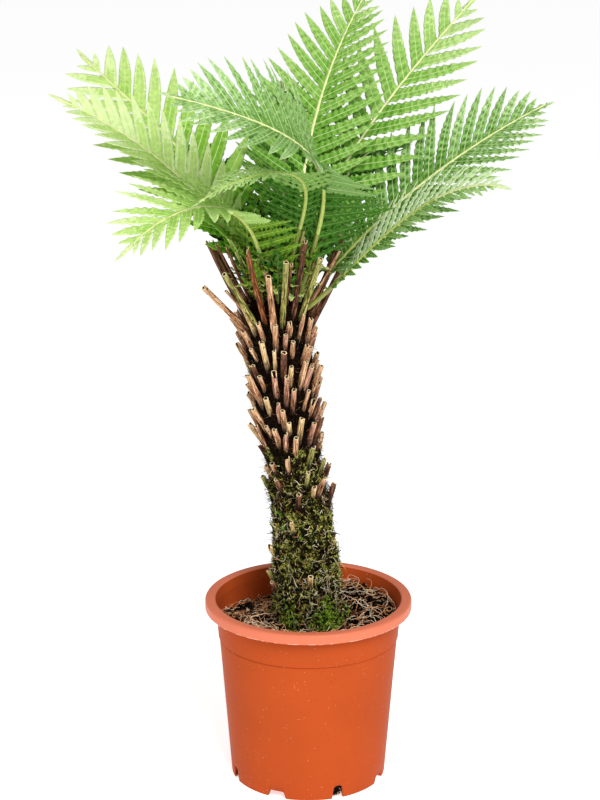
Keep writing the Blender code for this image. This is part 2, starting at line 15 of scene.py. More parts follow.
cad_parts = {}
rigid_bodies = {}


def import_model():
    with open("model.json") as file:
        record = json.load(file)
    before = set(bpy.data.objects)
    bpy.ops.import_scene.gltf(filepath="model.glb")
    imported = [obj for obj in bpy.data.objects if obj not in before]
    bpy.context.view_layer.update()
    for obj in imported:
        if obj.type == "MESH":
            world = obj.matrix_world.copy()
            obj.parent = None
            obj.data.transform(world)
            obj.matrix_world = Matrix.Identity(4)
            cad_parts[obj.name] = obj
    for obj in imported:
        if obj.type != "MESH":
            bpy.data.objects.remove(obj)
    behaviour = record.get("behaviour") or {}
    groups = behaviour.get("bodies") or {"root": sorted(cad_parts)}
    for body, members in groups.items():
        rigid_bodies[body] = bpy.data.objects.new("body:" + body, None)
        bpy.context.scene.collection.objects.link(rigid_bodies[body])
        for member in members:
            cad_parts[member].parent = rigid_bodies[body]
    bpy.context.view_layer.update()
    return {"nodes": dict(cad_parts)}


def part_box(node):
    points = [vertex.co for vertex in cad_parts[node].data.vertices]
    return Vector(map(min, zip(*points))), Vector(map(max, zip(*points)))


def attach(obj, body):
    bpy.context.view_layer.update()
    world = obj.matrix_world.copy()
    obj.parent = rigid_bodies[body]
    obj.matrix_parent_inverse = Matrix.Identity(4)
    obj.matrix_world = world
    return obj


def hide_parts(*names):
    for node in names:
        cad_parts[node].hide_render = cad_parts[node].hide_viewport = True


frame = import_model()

bl_info = {
    "name": "Potted tree fern",
    "version": (1, 0, 0),
    "blender": (4, 5, 0),
    "location": "3D View > Sidebar > Fern",
    "description": "Builds a young tree fern in a nursery pot: leaflets, ribs, trunk, moss, soil and pot",
    "category": "Add Mesh",
}

POT_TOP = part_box("pot")[1]
NODES = tuple(frame["nodes"])

POT_HEIGHT = POT_TOP.z
RIM_RADIUS = POT_TOP.x
RIM_DEPTH = 0.010
RIM_WIDTH = 0.0095
NECK_RADIUS = 0.0940
STEP_HEIGHT = 0.150
STEP_RADIUS = 0.0907
STEP_DEPTH = 0.0010
STEP_SLOPE = 0.0010
FOOT_RADIUS = 0.0790
FOOT_WIDTH = 0.0040
FLOOR_HEIGHT = 0.0105
PAD_RADIUS = 0.0210
PAD_SLOPE = 0.0030
LIP_SLOPE = 0.0008
POT_WALL = 0.0018
DRAIN_HOLE = dict(azimuth=22, foot_width=0.0125, top_width=0.0095, height=0.0145, corner=0.0040)
FOOT_ARCH = dict(azimuth=66, foot_width=0.0200, top_width=0.0165, height=0.0080, corner=0.0022)
NOTCH_TURN = 90
NOTCH_INNER = 0.008
NOTCH_REACH = 0.020
NOTCH_BELOW = 0.005
NOTCH_CORNER_STEPS = 6

SOIL_LEVEL = 0.165
SOIL_FLAT_RADIUS = 0.048
SOIL_SLOPE = 0.018
SOIL_MOUNDS = ((52, 0.0100, 0.9), (195, 0.0065, 0.8), (135, -0.0090, 0.7), (285, -0.0040, 0.9))

TRUNK_TOP = 0.500
TRUNK_DOME = 0.0065
# The trunk at shares of its height: how far its middle stands to the side, and its radius.
TRUNK_FORM = (
    (0.000, 0.0037, 0.0400),
    (0.060, -0.0010, 0.0345),
    (0.210, -0.0024, 0.0338),
    (0.375, -0.0075, 0.0304),
    (0.500, -0.0145, 0.0262),
    (0.615, -0.0194, 0.0268),
    (0.725, -0.0242, 0.0295),
    (0.890, -0.0290, 0.0312),
    (1.000, -0.0300, 0.0315),
)
GOLDEN_ANGLE = 137.508
STUB_COUNT = 56
STUB_FOOT, STUB_HEAD = 0.335, 0.468
LOW_STUB_COUNT = 12
LOW_STUB_FOOT, LOW_STUB_HEAD = 0.195, 0.330
LOW_STUB_LENGTH = 0.013
# A few more cut ends low on the trunk: azimuth, height, length and radius.
LOW_ENDS = ((188, 0.204, 0.015, 0.0026), (196, 0.198, 0.013, 0.0022), (205, 0.262, 0.012, 0.0022))
MOSSY_STUB_COUNT = 20
MOSSY_STUB_FOOT = 0.288
MOSSY_STUB_LENGTH = 0.023
STUB_SPREAD = 24
STUB_LEAN = 6
STUB_SINK = 0.0045
STUB_UNEVEN = dict(turn=5, spread=4, length=0.25, radius=0.12)
STALK_RADIUS = 0.0029
STALK_SINK = 0.008
STALK_SHIFTS = (0, 4, -4, 8, -8, 12, -12, 16, -16)
# The long cut stalks: compass heading, height of the foot, angle over the level, length, and look.
STALKS = (
    (277, 0.470, 66, 0.090, "olive"), (315, 0.470, 67, 0.089, "olive"), (226, 0.470, 53, 0.086, "olive"),
    (198, 0.462, 47, 0.078, "tan"), (181, 0.464, 63, 0.104, "brown"), (160, 0.466, 60, 0.098, "brown"),
    (245, 0.474, 60, 0.104, "rust"), (0, 0.468, 68, 0.104, "brown"), (342, 0.458, 64, 0.082, "brown"),
    (262, 0.462, 62, 0.088, "tan"), (300, 0.476, 72, 0.100, "brown"), (30, 0.468, 58, 0.094, "brown"),
    (58, 0.462, 54, 0.088, "tan"), (88, 0.468, 60, 0.100, "olive"), (112, 0.460, 52, 0.084, "brown"),
    (136, 0.468, 64, 0.096, "tan"),
)
# Thin green stems and dry ones between the long stalks.
THIN_STALKS = (
    (248, 0.480, 76, 0.084, "olive"), (268, 0.482, 79, 0.086, "olive"), (308, 0.482, 74, 0.102, "olive"),
    (330, 0.480, 70, 0.096, "olive"), (205, 0.480, 68, 0.088, "olive"), (70, 0.480, 72, 0.090, "olive"),
    (150, 0.480, 72, 0.090, "olive"), (190, 0.472, 60, 0.096, "brown"), (206, 0.472, 63, 0.094, "brown"),
    (214, 0.466, 50, 0.070, "tan"), (236, 0.472, 72, 0.078, "brown"), (255, 0.474, 66, 0.072, "brown"),
    (286, 0.474, 66, 0.080, "brown"), (350, 0.470, 60, 0.094, "tan"), (20, 0.474, 64, 0.090, "brown"),
    (100, 0.472, 64, 0.088, "brown"), (170, 0.472, 56, 0.086, "tan"),
)
THIN_STALK_RADIUS = 0.0017
STALK_ROOM = 0.0015
STALK_PROBES = 20
STALK_FIRST_PROBE = 4
SOLID_RIB_RADIUS = 0.0027

CROWN = Vector((-0.030, 0.0, 0.500))
CROWN_FALL = 0.25
BARE_STALK = 0.13
SHORTEST_LEAFLET = 0.24
LEAFLET_FULLNESS = 0.6
LONGEST_BELOW = 0.05
LEAFLET_SPACING = 0.0140
LEAFLET_ANGLES = (70, 38)
RIB_TAPER = 0.8
END_LEAFLET = 0.024
ROLL_REACH = 0.35
PATH_STEPS = 120

# Each frond: its compass heading at the foot and at the tip, its steepness at the foot, middle and tip, its
# length, the roll of its blade, the fold of its two rows of leaflets, where its foot stands in the crown, its
# longest leaflet, the spacing and the angles of its leaflets where they differ from the others', how much of that
# room a leaflet fills, how wavy its leaflets are at the foot and at the tip, its kind of green, and how light that is
# at the foot and at the tip. Some have one row lighter than the other, painted light and shade for two rows that
# face the lamps differently, a rib that stays green further up, or, up to some rank from the foot, leaflets of
# another green and width, with so much more light and so many more waves.
FRONDS = {
    "frond_left_upper": dict(
        head=(148, 146), rise=(76, 40, 35), length=0.335, roll=32, fold=8, ring=0.016, at=148, leaf=0.084,
        spacing=0.0205, width=0.90, wave=(1.0, 0.1), green="young", light=(0.6, 3.9),
    ),
    "frond_left_middle": dict(
        head=(190, 185), rise=(76, 45, 24), length=0.303, roll=38, fold=25, ring=0.020, at=190, leaf=0.060,
        spacing=0.0150, width=1.06, wave=(0.5, 0.1), green="young", light=(1.4, 4.9), rows=(0.3, -0.3),
    ),
    "frond_left_lower": dict(
        head=(262, 206), rise=(86, 22, -52), length=0.290, roll=18, fold=12, ring=0.020, at=232, leaf=0.076,
        wave=(0.8, 0.6), green="young", light=(1.4, 3.6), rib_tones=(0.16, 0.50),
        foot=dict(until=0.34, green="leafy", width=0.62, light=2.1, wave=0.4),
    ),
    "frond_centre_left": dict(
        head=(330, 165), rise=(78, 40, 10), length=0.380, roll=50, fold=20, ring=0.024, at=322, leaf=0.086,
        width=0.97, wave=(0.40, 0.6), green="silver", light=(2.0, 3.3), rib_tones=(0.24, 0.46),
        foot=dict(until=0.30, green="deep", width=0.58, light=1.2, wave=0.8),
    ),
    "frond_top_middle": dict(
        head=(84, 40), rise=(74, 62, 48), length=0.340, roll=-12, fold=10, ring=0.014, at=350, leaf=0.076,
        angles=(78, 44), width=0.92, wave=(1.2, 0.6), green="mid", light=(1.0, 3.4),
        foot=dict(until=0.24, green="deep", width=0.62, light=1.2, wave=0.5),
    ),
    "frond_top_right": dict(
        head=(33, 30), rise=(74, 49, 42), length=0.372, roll=-32, fold=10, ring=0.014, at=50, leaf=0.082,
        spacing=0.0208, width=0.82, wave=(1.5, 0.5), green="mid", light=(1.3, 4.2),
        foot=dict(until=0.20, green="deep", width=0.60, light=1.2, wave=0.5),
    ),
    "frond_right_upper": dict(
        head=(5, 5), rise=(54, 39, 26), length=0.318, roll=-36, fold=14, ring=0.026, at=10, leaf=0.080,
        width=0.94, wave=(1.0, 0.8), green="silver", light=(2.0, 3.1),
    ),
    "frond_right_lower": dict(
        head=(345, 315), rise=(40, 40, -8), length=0.275, roll=-30, fold=10, ring=0.028, at=342, leaf=0.054,
        spacing=0.0100, width=0.74, wave=(0.35, 0.5), green="pale", light=(2.0, 3.7), rows=(-1.2, 1.5),
        rib_tones=(0.20, 0.70),
    ),
    "frond_front": dict(
        head=(335, 185), rise=(86, 34, -40), length=0.320, roll=0, fold=4, ring=0.022, at=285, leaf=0.052,
        spacing=0.0088, width=0.86, wave=(0.8, 0.8), green="mid", light=(1.8, 4.0), rib_tones=(0.30, 1.00),
        foot=dict(until=0.40, green="deep", width=0.72, light=0.3, wave=0.3),
    ),
    "frond_back_middle": dict(
        head=(75, 98), rise=(74, 50, 5), length=0.280, roll=0, fold=10, ring=0.016, at=100, leaf=0.060,
        wave=(1.0, 0.8), green="mid", light=(0.4, 2.8),
    ),
    "frond_back_right": dict(
        head=(55, 70), rise=(62, 25, -20), length=0.300, roll=0, fold=10, ring=0.026, at=62, leaf=0.060,
        wave=(1.0, 0.7), green="deep", light=(0.5, 3.0),
    ),
    "frond_back_left": dict(
        head=(128, 122), rise=(62, 25, -25), length=0.300, roll=0, fold=10, ring=0.024, at=118, leaf=0.060,
        wave=(1.0, 0.7), green="deep", light=(0.5, 3.0),
    ),
}

# Short leafy shoots that fill the crown's centre, the outer ones shorter and less steep.
SHOOT_COUNT = 44
SHOOT_RING = 0.027
SHOOT_SPACING = 0.0130
SHOOT_BARE = 0.28
SHOOT_RIB = 0.55
LOW_LEAFLETS = 3

# Five greens of the upper face from dark to light, one of the underside, and one of the midrib.
GREENS = {
    "young": (("#5A9A1C", "#82BA3C", "#A6D262", "#C6E486", "#E2F3B2"), "#B2D676", "#D2E89A"),
    "mid": (("#3C7C12", "#619C2E", "#84B84C", "#A5CF6E", "#C8E496"), "#8BB75C", "#CBE09A"),
    "silver": (("#2C5C10", "#4C7E2A", "#74A04C", "#9AC276", "#C4E0A0"), "#8CB866", "#CCE0A2"),
    # The pale green is painted light: lighter than the mid green, for a band of leaflets that faces away from the key
    # light.
    "pale": (("#3E7A1C", "#74A846", "#A6CE78", "#C8E6A2", "#DDF1BE"), "#A0C87C", "#DCEBB4"),
    "deep": (("#0A2A04", "#1C4E0C", "#38781A", "#5F9E32", "#94C45C"), "#457A28", "#8FB456"),
    "olive": (("#2E400A", "#66801C", "#9AB23A", "#C4D468", "#E6F0A4"), "#5E7620", "#D0D878"),
    "leafy": (("#0E2E02", "#2E620A", "#62981A", "#9CC63E", "#D0E878"), "#6E9A26", "#BED668"),
}

CAMERA_PLACE = Vector((-0.0085, -2.2, 1.058))
CAMERA_PITCH = 0.2913
CAMERA_LENS = 104.2


def linear(hex_colour):
    """A hex colour as linear red, green, blue and alpha."""
    values = [int(hex_colour[i:i + 2], 16) / 255 for i in (1, 3, 5)]
    return [v / 12.92 if v <= 0.04045 else ((v + 0.055) / 1.055) ** 2.4 for v in values] + [1.0]


def wobble(index, salt):
    """Repeatable numbers from -1 to 1 for the given index or array of them."""
    value = np.sin(index * 12.9898 + salt * 78.233) * 43758.5453
    return 2.0 * (value - np.floor(value)) - 1.0


def polar(azimuth, radius, height=0.0):
    turn = math.radians(azimuth)
    return Vector((radius * math.cos(turn), radius * math.sin(turn), height))


def headings(azimuth, rise=0.0):
    """Level directions at an array of azimuths, raised so far."""
    turn = np.radians(azimuth)
    return np.stack([np.cos(turn), np.sin(turn), rise + 0 * turn], axis=-1)


def smoothstep(low, high, value):
    share = np.clip((value - low) / (high - low), 0.0, 1.0)
    return share * share * (3 - 2 * share)


def lumps(spot, *layers):
    """How uneven a surface is at a spot: each layer has its height and how many lumps fit in a metre."""
    return sum(height * noise.noise(spot * scale) for height, scale in layers)


# Nodes and materials
def add_node(tree, kind, inputs=None, stops=None, **settings):
    """Add a node, set its properties, and give each input a value or the socket that it reads."""
    made = tree.nodes.new(kind)
    for name, value in settings.items():
        setattr(made, name, value)
    for name, value in (inputs or {}).items():
        if isinstance(value, bpy.types.NodeSocket):
            tree.links.new(value, made.inputs[name])
        else:
            made.inputs[name].default_value = value
    for index, (place, colour) in enumerate(stops or ()):
        elements = made.color_ramp.elements
        element = elements[index] if index < 2 else elements.new(place)
        element.position, element.color = place, colour
    return made


def new_material(name, roughness, sheen):
    """A new material with its tree, its shader and a socket of Object coordinates."""
    material = bpy.data.materials.new(name)
    material.use_nodes = True
    tree = material.node_tree
    shader = tree.nodes["Principled BSDF"]
    shader.inputs["Roughness"].default_value = roughness
    shader.inputs["Specular IOR Level"].default_value = sheen
    place = add_node(tree, "ShaderNodeTexCoord").outputs["Object"]
    return material, tree, shader, place


def shaded(colour, gain):
    """A linear colour made darker or lighter."""
    return [value * gain for value in colour[:3]] + [1.0]


def even_stops(*colours):
    """Hex colours as stops spread evenly over the range that a noise pattern mostly has."""
    return [(0.32 + 0.36 * i / (len(colours) - 1), linear(colour)) for i, colour in enumerate(colours)]


def patches(tree, place, scale, stops, detail=3.0, distortion=0.0):
    """A colour that drifts between the stops in patches: scale is how many patches fit in a metre."""
    pattern = add_node(
        tree, "ShaderNodeTexNoise", {"Vector": place, "Scale": scale, "Detail": detail, "Distortion": distortion}
    )
    return add_node(tree, "ShaderNodeValToRGB", {"Fac": pattern.outputs["Fac"]}, stops=stops).outputs["Color"]


def patchy_material(name, roughness, sheen, scale, stops, detail=3.0, distortion=0.0):
    """A new material whose colour drifts in patches, with its tree, its shader and its coordinates."""
    made = material, tree, shader, place = new_material(name, roughness, sheen)
    tree.links.new(patches(tree, place, scale, stops, detail, distortion), shader.inputs["Base Color"])
    return made


def overlay(tree, below, over, value, low, high, most=1.0):
    """Lay one colour over another, more so as a value goes from low to high."""
    share = add_node(tree, "ShaderNodeMapRange", {"Value": value, "From Min": low, "From Max": high, "To Max": most})
    mixed = add_node(
        tree, "ShaderNodeMix", {"Factor": share.outputs["Result"], "A": below, "B": over}, data_type="RGBA"
    )
    return mixed.outputs["Result"]


def relief(tree, shader, place, scale, strength, distance, detail=3.0):
    """Fine relief that is too low for the mesh: scale is how many bumps fit in a metre, distance is their height."""
    bumps = add_node(tree, "ShaderNodeTexNoise", {"Vector": place, "Scale": scale, "Detail": detail})
    bump = add_node(
        tree, "ShaderNodeBump", {"Strength": strength, "Distance": distance, "Height": bumps.outputs["Fac"]}
    )
    tree.links.new(bump.outputs["Normal"], shader.inputs["Normal"])


def plain_fibre(name, dark, light, roughness=0.9):
    """Dry plant fibre: dull, with two close shades that change every few millimetres."""
    return patchy_material(name, roughness, 0.04, 220.0, even_stops(dark, light))[0]


# Meshes
def new_piece(name, mesh, slot, *nodes):
    """Link a finished mesh as a piece that rides with the plant and stands for the given solids."""
    piece = bpy.data.objects.new(name, mesh)
    bpy.context.scene.collection.objects.link(piece)
    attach(piece, "root")
    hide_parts(*nodes)
    return piece


def mesh_from_arrays(name, points, groups, materials, smooth=True):
    """A mesh from points and groups of (faces, material indices), each group with one number of corners a face."""
    mesh = bpy.data.meshes.new(name)
    points = np.asarray(points, np.float32).reshape(-1, 3)
    faces = [np.asarray(group[0], np.int32) for group in groups]
    slots = [np.broadcast_to(np.asarray(group[1], np.int32), len(group[0])) for group in groups]
    sizes = np.concatenate([np.full(len(part), part.shape[1], np.int32) for part in faces])
    corners = np.concatenate([part.ravel() for part in faces])
    mesh.vertices.add(len(points))
    mesh.vertices.foreach_set("co", points.ravel())
    mesh.loops.add(len(corners))
    mesh.loops.foreach_set("vertex_index", corners)
    mesh.polygons.add(len(sizes))
    mesh.polygons.foreach_set("loop_start", np.concatenate([[0], np.cumsum(sizes)[:-1]]).astype(np.int32))
    mesh.polygons.foreach_set("material_index", np.concatenate(slots).astype(np.int32))
    mesh.polygons.foreach_set("use_smooth", np.full(len(sizes), smooth))
    for material in materials:
        mesh.materials.append(material)
    mesh.update(calc_edges=True)
    mesh.validate()
    return mesh


def unit(vectors):
    return vectors / np.maximum(np.linalg.norm(vectors, axis=-1, keepdims=True), 1e-12)


def strands(paths, radii, sides):
    """Points, walls and end caps of many closed round strands. paths is (count, steps, 3), radii (count, steps)."""
    count, steps, _ = paths.shape
    along = unit(np.gradient(paths, axis=1))
    chord = unit(paths[:, -1] - paths[:, 0])
    least = np.eye(3)[np.argmin(np.abs(chord), axis=1)]
    side = unit(np.cross(along, least[:, None, :]))
    up = np.cross(side, along)
    turn = 2 * np.pi * np.arange(sides) / sides
    ring = (
        np.cos(turn)[None, None, :, None] * side[:, :, None, :] + np.sin(turn)[None, None, :, None] * up[:, :, None, :]
    )
    points = paths[:, :, None, :] + radii[:, :, None, None] * ring
    index = np.arange(count * steps * sides).reshape(count, steps, sides)
    after = np.roll(index, -1, axis=2)
    walls = np.stack([index[:, :-1], index[:, 1:], after[:, 1:], after[:, :-1]], axis=-1).reshape(-1, 4)
    caps = np.concatenate([index[:, 0], index[:, -1, ::-1]])
    return points.reshape(-1, 3), walls, caps


def strand_piece(name, paths, radii, sides, kinds, materials, slot, node):
    """Many strands as one piece. kinds gives the material of each strand."""
    points, walls, caps = strands(paths, radii, sides)
    count, steps, _ = paths.shape
    groups = [(walls, np.repeat(kinds, (steps - 1) * sides)), (caps, np.tile(kinds, 2))]
    new_piece(name, mesh_from_arrays(name, points, groups, materials), slot, node)


def spike_mesh(name, roots, tips, radii, kinds, materials):
    """Many three-sided pointed spikes as one mesh. kinds gives the material of each spike."""
    along = unit(tips - roots)
    side = unit(np.cross(along, np.eye(3)[np.argmin(np.abs(along), axis=1)]))
    up = np.cross(along, side)
    turn = 2 * np.pi * np.arange(3) / 3
    ring = np.cos(turn)[None, :, None] * side[:, None, :] + np.sin(turn)[None, :, None] * up[:, None, :]
    points = np.concatenate([roots[:, None, :] + radii[:, None, None] * ring, tips[:, None, :]], axis=1)
    faces = 4 * np.arange(len(roots))[:, None, None] + np.array([(0, 1, 3), (1, 2, 3), (2, 0, 3), (2, 1, 0)])[None]
    return mesh_from_arrays(name, points, [(faces.reshape(-1, 3), np.repeat(kinds, 4))], materials)


def copies(bm, places):
    """Points and faces of copies of a small closed form, one for each (3 x 3 turn and stretch, place)."""
    base = np.array([vert.co for vert in bm.verts])
    faces = np.array([[vert.index for vert in face.verts] for face in bm.faces])
    bm.free()
    turns, spots = places
    points = np.einsum("kij,nj->kni", turns, base) + spots[:, None, :]
    return points.reshape(-1, 3), (faces[None] + len(base) * np.arange(len(spots))[:, None, None]).reshape(-1, 3)


def as_mesh(name, bm, materials, sharp=40):
    mesh = bpy.data.meshes.new(name)
    bm.to_mesh(mesh)
    bm.free()
    for material in materials:
        mesh.materials.append(material)
    mesh.shade_smooth()
    mesh.set_sharp_from_angle(angle=math.radians(sharp))
    return mesh


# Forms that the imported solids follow, written again here
def wall_radius(height):
    """Outer radius of the pot's wall, which widens upwards and steps out below the rim."""
    neck = POT_HEIGHT - RIM_DEPTH
    below = FOOT_RADIUS + (STEP_RADIUS - FOOT_RADIUS) * height / STEP_HEIGHT
    foot = STEP_RADIUS + STEP_DEPTH
    above = foot + (NECK_RADIUS - foot) * (height - STEP_HEIGHT) / (neck - STEP_HEIGHT)
    return np.where(height < STEP_HEIGHT, below, above)


def soil_rise(x, y):
    """Height of the soil above its level: flat under the trunk, mounded and hollowed towards the wall."""
    away = smoothstep(SOIL_FLAT_RADIUS, SOIL_FLAT_RADIUS + SOIL_SLOPE, np.hypot(x, y))
    azimuth = np.degrees(np.arctan2(y, x))
    rise = 0.0
    for middle, height, width in SOIL_MOUNDS:
        turn = np.radians((azimuth - middle + 180) % 360 - 180)
        rise = rise + height * np.exp(-(turn / width) ** 2)
    return away * rise


def trunk_form(height):
    """Sideways place of the trunk's middle and its radius at a height, or at many heights."""
    shares = (np.asarray(height, float) - SOIL_LEVEL) / (TRUNK_TOP - SOIL_LEVEL)
    at, middle, radius = np.array(TRUNK_FORM).T
    return np.interp(shares, at, middle), np.interp(shares, at, radius)


def trunk_lump(azimuth, height):
    turn = np.radians(azimuth)
    return 1 + 0.035 * np.sin(3 * turn + 40 * height) + 0.025 * np.sin(5 * turn - 65 * height)


def trunk_skin(azimuth, height, out):
    """Points so far out from the trunk's skin, at arrays of azimuths and heights."""
    middle, radius = trunk_form(height)
    reach = radius * trunk_lump(azimuth, height) + out
    turn = np.radians(azimuth)
    return np.stack([middle + reach * np.cos(turn), reach * np.sin(turn), height + 0 * reach], axis=-1)


def trunk_inside(azimuth, height, sink):
    """A point so far inside the trunk's skin."""
    middle, radius = trunk_form(height)
    return Vector((middle, 0, height)) + polar(azimuth, radius - sink)


def stub_form(index, azimuth, height, length, radius):
    """Foot, direction, length and radius of one cut-off frond base."""
    azimuth += STUB_UNEVEN["turn"] * wobble(index, 1)
    lean = STUB_LEAN * -math.cos(math.radians(azimuth))
    spread = math.radians(STUB_SPREAD + lean + STUB_UNEVEN["spread"] * wobble(index, 2))
    along = polar(azimuth, math.sin(spread), math.cos(spread))
    foot = trunk_inside(azimuth, height, STUB_SINK)
    length *= 1 + STUB_UNEVEN["length"] * wobble(index, 3)
    return foot, along, length, radius * (1 + STUB_UNEVEN["radius"] * wobble(index, 4))


def steepness(rise, share):
    foot, middle, tip = rise
    return foot * (1 - share) * (1 - 2 * share) + middle * 4 * share * (1 - share) + tip * share * (2 * share - 1)


def frond_path(form):
    """The rib as stations, each with its point and its three directions: along, side and up."""
    point = CROWN + polar(form["at"], form["ring"], -CROWN_FALL * form["ring"])
    path = []
    for step in range(PATH_STEPS + 1):
        share = step / PATH_STEPS
        rise = math.radians(steepness(form["rise"], share))
        turn = form["head"][0] + (form["head"][1] - form["head"][0]) * share
        along = polar(turn, math.cos(rise), math.sin(rise))
        up = polar(turn, -math.sin(rise), math.cos(rise))
        side = along.cross(up)
        roll = math.radians(form["roll"]) * min(1.0, share / ROLL_REACH)
        side, up = side * math.cos(roll) + up * math.sin(roll), up * math.cos(roll) - side * math.sin(roll)
        path.append(dict(point=point.copy(), along=along, side=side, up=up, share=share))
        point = point + along * form["length"] / PATH_STEPS
    return path


def station_at(path, share):
    place = min(share, 1.0) * PATH_STEPS
    low = min(PATH_STEPS - 1, int(place))
    mix = place - low
    first, second = path[low], path[low + 1]
    return {key: first[key] + (second[key] - first[key]) * mix for key in ("point", "along", "side", "up", "share")}


def blade_share(form):
    """The share of a frond's length that carries leaflets, between the bare stalk and the end leaflet."""
    return 1 - BARE_STALK - END_LEAFLET / form["length"]


def leaflet_size(form, rank):
    rise = math.sin(math.pi * min(1.0, rank + LONGEST_BELOW)) ** LEAFLET_FULLNESS
    return form["leaf"] * (SHORTEST_LEAFLET + (1 - SHORTEST_LEAFLET) * rise)


def stalk_line(azimuth, up, out, sink):
    """Foot and direction of a stalk that leaves the trunk at a height and at an angle over the level."""
    out = math.radians(out)
    return trunk_inside(azimuth, up, sink), polar(azimuth, math.cos(out), math.sin(out))


def stalk_forms():
    """The long cut stalks. Each turns aside by a few degrees where a frond's rib is in its way."""
    ribs = [station["point"] for path in PATHS.values() for station in path[:PATH_STEPS // 2:2]]
    room = STALK_RADIUS + SOLID_RIB_RADIUS * math.sqrt(2) + STALK_ROOM
    for azimuth, up, out, length, look in STALKS:
        for shift in STALK_SHIFTS:
            foot, along = stalk_line(azimuth + shift, up, out, STALK_SINK)
            step = along * length / STALK_PROBES
            points = [foot + step * count for count in range(STALK_FIRST_PROBE, STALK_PROBES + 1)]
            if all((point - other).length > room for point in points for other in ribs):
                yield foot, along, length, STALK_RADIUS, look
                break


PATHS = {name: frond_path(form) for name, form in FRONDS.items()}


METRES = dict(unit="LENGTH", subtype="DISTANCE")
COLOUR = dict(size=4, subtype="COLOR")


class FernPotSettings(bpy.types.PropertyGroup):
    wall: FloatProperty(name="Wall", description="Thickness of the moulded wall", default=POT_WALL, **METRES)
    steps: IntProperty(name="Steps", description="Flats round the pot", default=192, min=48)
    flash: FloatProperty(name="Flash", description="How ragged the skirt's moulded edge is", default=0.0005, **METRES)
    colour: FloatVectorProperty(
        name="Wall colour", description="Terracotta-coloured plastic", default=linear("#B24B20"), **COLOUR
    )
    rim_colour: FloatVectorProperty(
        name="Rim colour", description="Paler skirt of the rim, where the plastic is rubbed",
        default=linear("#D87454"), **COLOUR,
    )


class FernSoilSettings(bpy.types.PropertyGroup):
    grid: IntProperty(name="Grid", description="Cells across the soil's surface", default=170, min=20)
    clod: FloatProperty(name="Clods", description="Height of the lumps in the soil", default=0.0040, **METRES)
    crumbs: IntProperty(name="Crumbs", description="Loose crumbs on the surface", default=2200, min=0)
    roots: IntProperty(name="Roots", description="Curly tan roots on the surface", default=400, min=0)


class FernTrunkSettings(bpy.types.PropertyGroup):
    around: IntProperty(name="Around", description="Faces round the trunk", default=200, min=24)
    upward: IntProperty(name="Upward", description="Faces up the trunk", default=280, min=24)
    relief: FloatProperty(name="Relief", description="Depth of the fibrous relief", default=0.0022, **METRES)
    stub_length: FloatProperty(
        name="Stub length", description="Mean length of the cut stalk ends", default=0.034, **METRES
    )
    stub_radius: FloatProperty(
        name="Stub radius", description="Mean radius of the cut stalk ends", default=0.0028, **METRES
    )
    fibres: IntProperty(name="Fibres", description="Fine dark fibres between the cut stalks", default=6000, min=0)
    rootlets: IntProperty(name="Rootlets", description="Wiry rootlets on the lower trunk", default=5600, min=0)
    tufts: IntProperty(name="Moss tufts", description="Tufts of moss on the lower trunk", default=1150, min=0)


class FernFrondSettings(bpy.types.PropertyGroup):
    rib_radius: FloatProperty(name="Rib radius", description="Radius of a rib at its foot", default=0.0025, **METRES)
    rib_tip_radius: FloatProperty(
        name="Rib tip radius", description="Radius of a rib at its tip", default=0.0006, **METRES
    )
    leaflet_width: FloatProperty(
        name="Leaflet width", description="Width of a leaflet as a share of the room that it has", default=1.02,
        min=0.3, max=1.3, subtype="FACTOR",
    )
    leaflet_thickness: FloatProperty(
        name="Leaflet thickness", description="Thickness of a leaflet", default=0.00035, **METRES
    )
    wave_length: FloatProperty(
        name="Wave length", description="Distance between two waves of a leaflet's margin", default=0.0076, **METRES
    )
    wave_height: FloatProperty(
        name="Wave height", description="Height of the waves at the margin", default=0.0013, **METRES
    )


class FernStudioSettings(bpy.types.PropertyGroup):
    key_power: FloatProperty(name="Key light", description="Power of the large soft light", default=58.0, unit="POWER")
    fill_power: FloatProperty(
        name="Fill light", description="Power of the light on the left", default=8.0, unit="POWER"
    )
    ambient: FloatProperty(name="Ambient", description="Brightness of the pale surroundings", default=0.36)
    floor_glow: FloatProperty(name="Floor glow", description="Light that the lit pale floor gives", default=0.62)
    floor_colour: FloatVectorProperty(
        name="Floor colour", description="Plain pale floor", default=linear("#F8F8F8"), **COLOUR
    )


# Pot
# Rings of corners up the wall, so that the cuts at its foot don't show in the shading above them.
WALL_RINGS = (0.018, 0.030, 0.070, 0.110)
STEP_GROOVE = 0.0007
ARC_STEPS = 4
RIM_MARGIN = 0.001
# The pale flash on the skirt's edge, partly moulding flash and partly a painted highlight on the lit edge: how far it
# reaches up and in, and the noise level that leaves part of it out.
FLASH_UP, FLASH_IN, FLASH_SHARE = 0.0006, 0.0002, -0.05
PALE_SPECKS = 0.088


def rounded(corners):
    """An outline of (radius, height, rounding) corners as points, each rounded corner drawn as an arc."""
    spots = [Vector(corner[:2]) for corner in corners]
    points = [spots[0]]
    for before, corner, after, (_, _, rounding) in zip(spots, spots[1:], spots[2:], corners[1:]):
        if not rounding:
            points.append(corner)
            continue
        back, on = (before - corner).normalized(), (after - corner).normalized()
        half = back.angle(on) / 2
        middle = corner + (back + on).normalized() * rounding / math.sin(half)
        reach = rounding / math.tan(half)
        start, end = corner + back * reach - middle, corner + on * reach - middle
        for step in range(ARC_STEPS + 1):
            points.append(middle + start.lerp(end, step / ARC_STEPS).normalized() * rounding)
    return points + [spots[-1]]


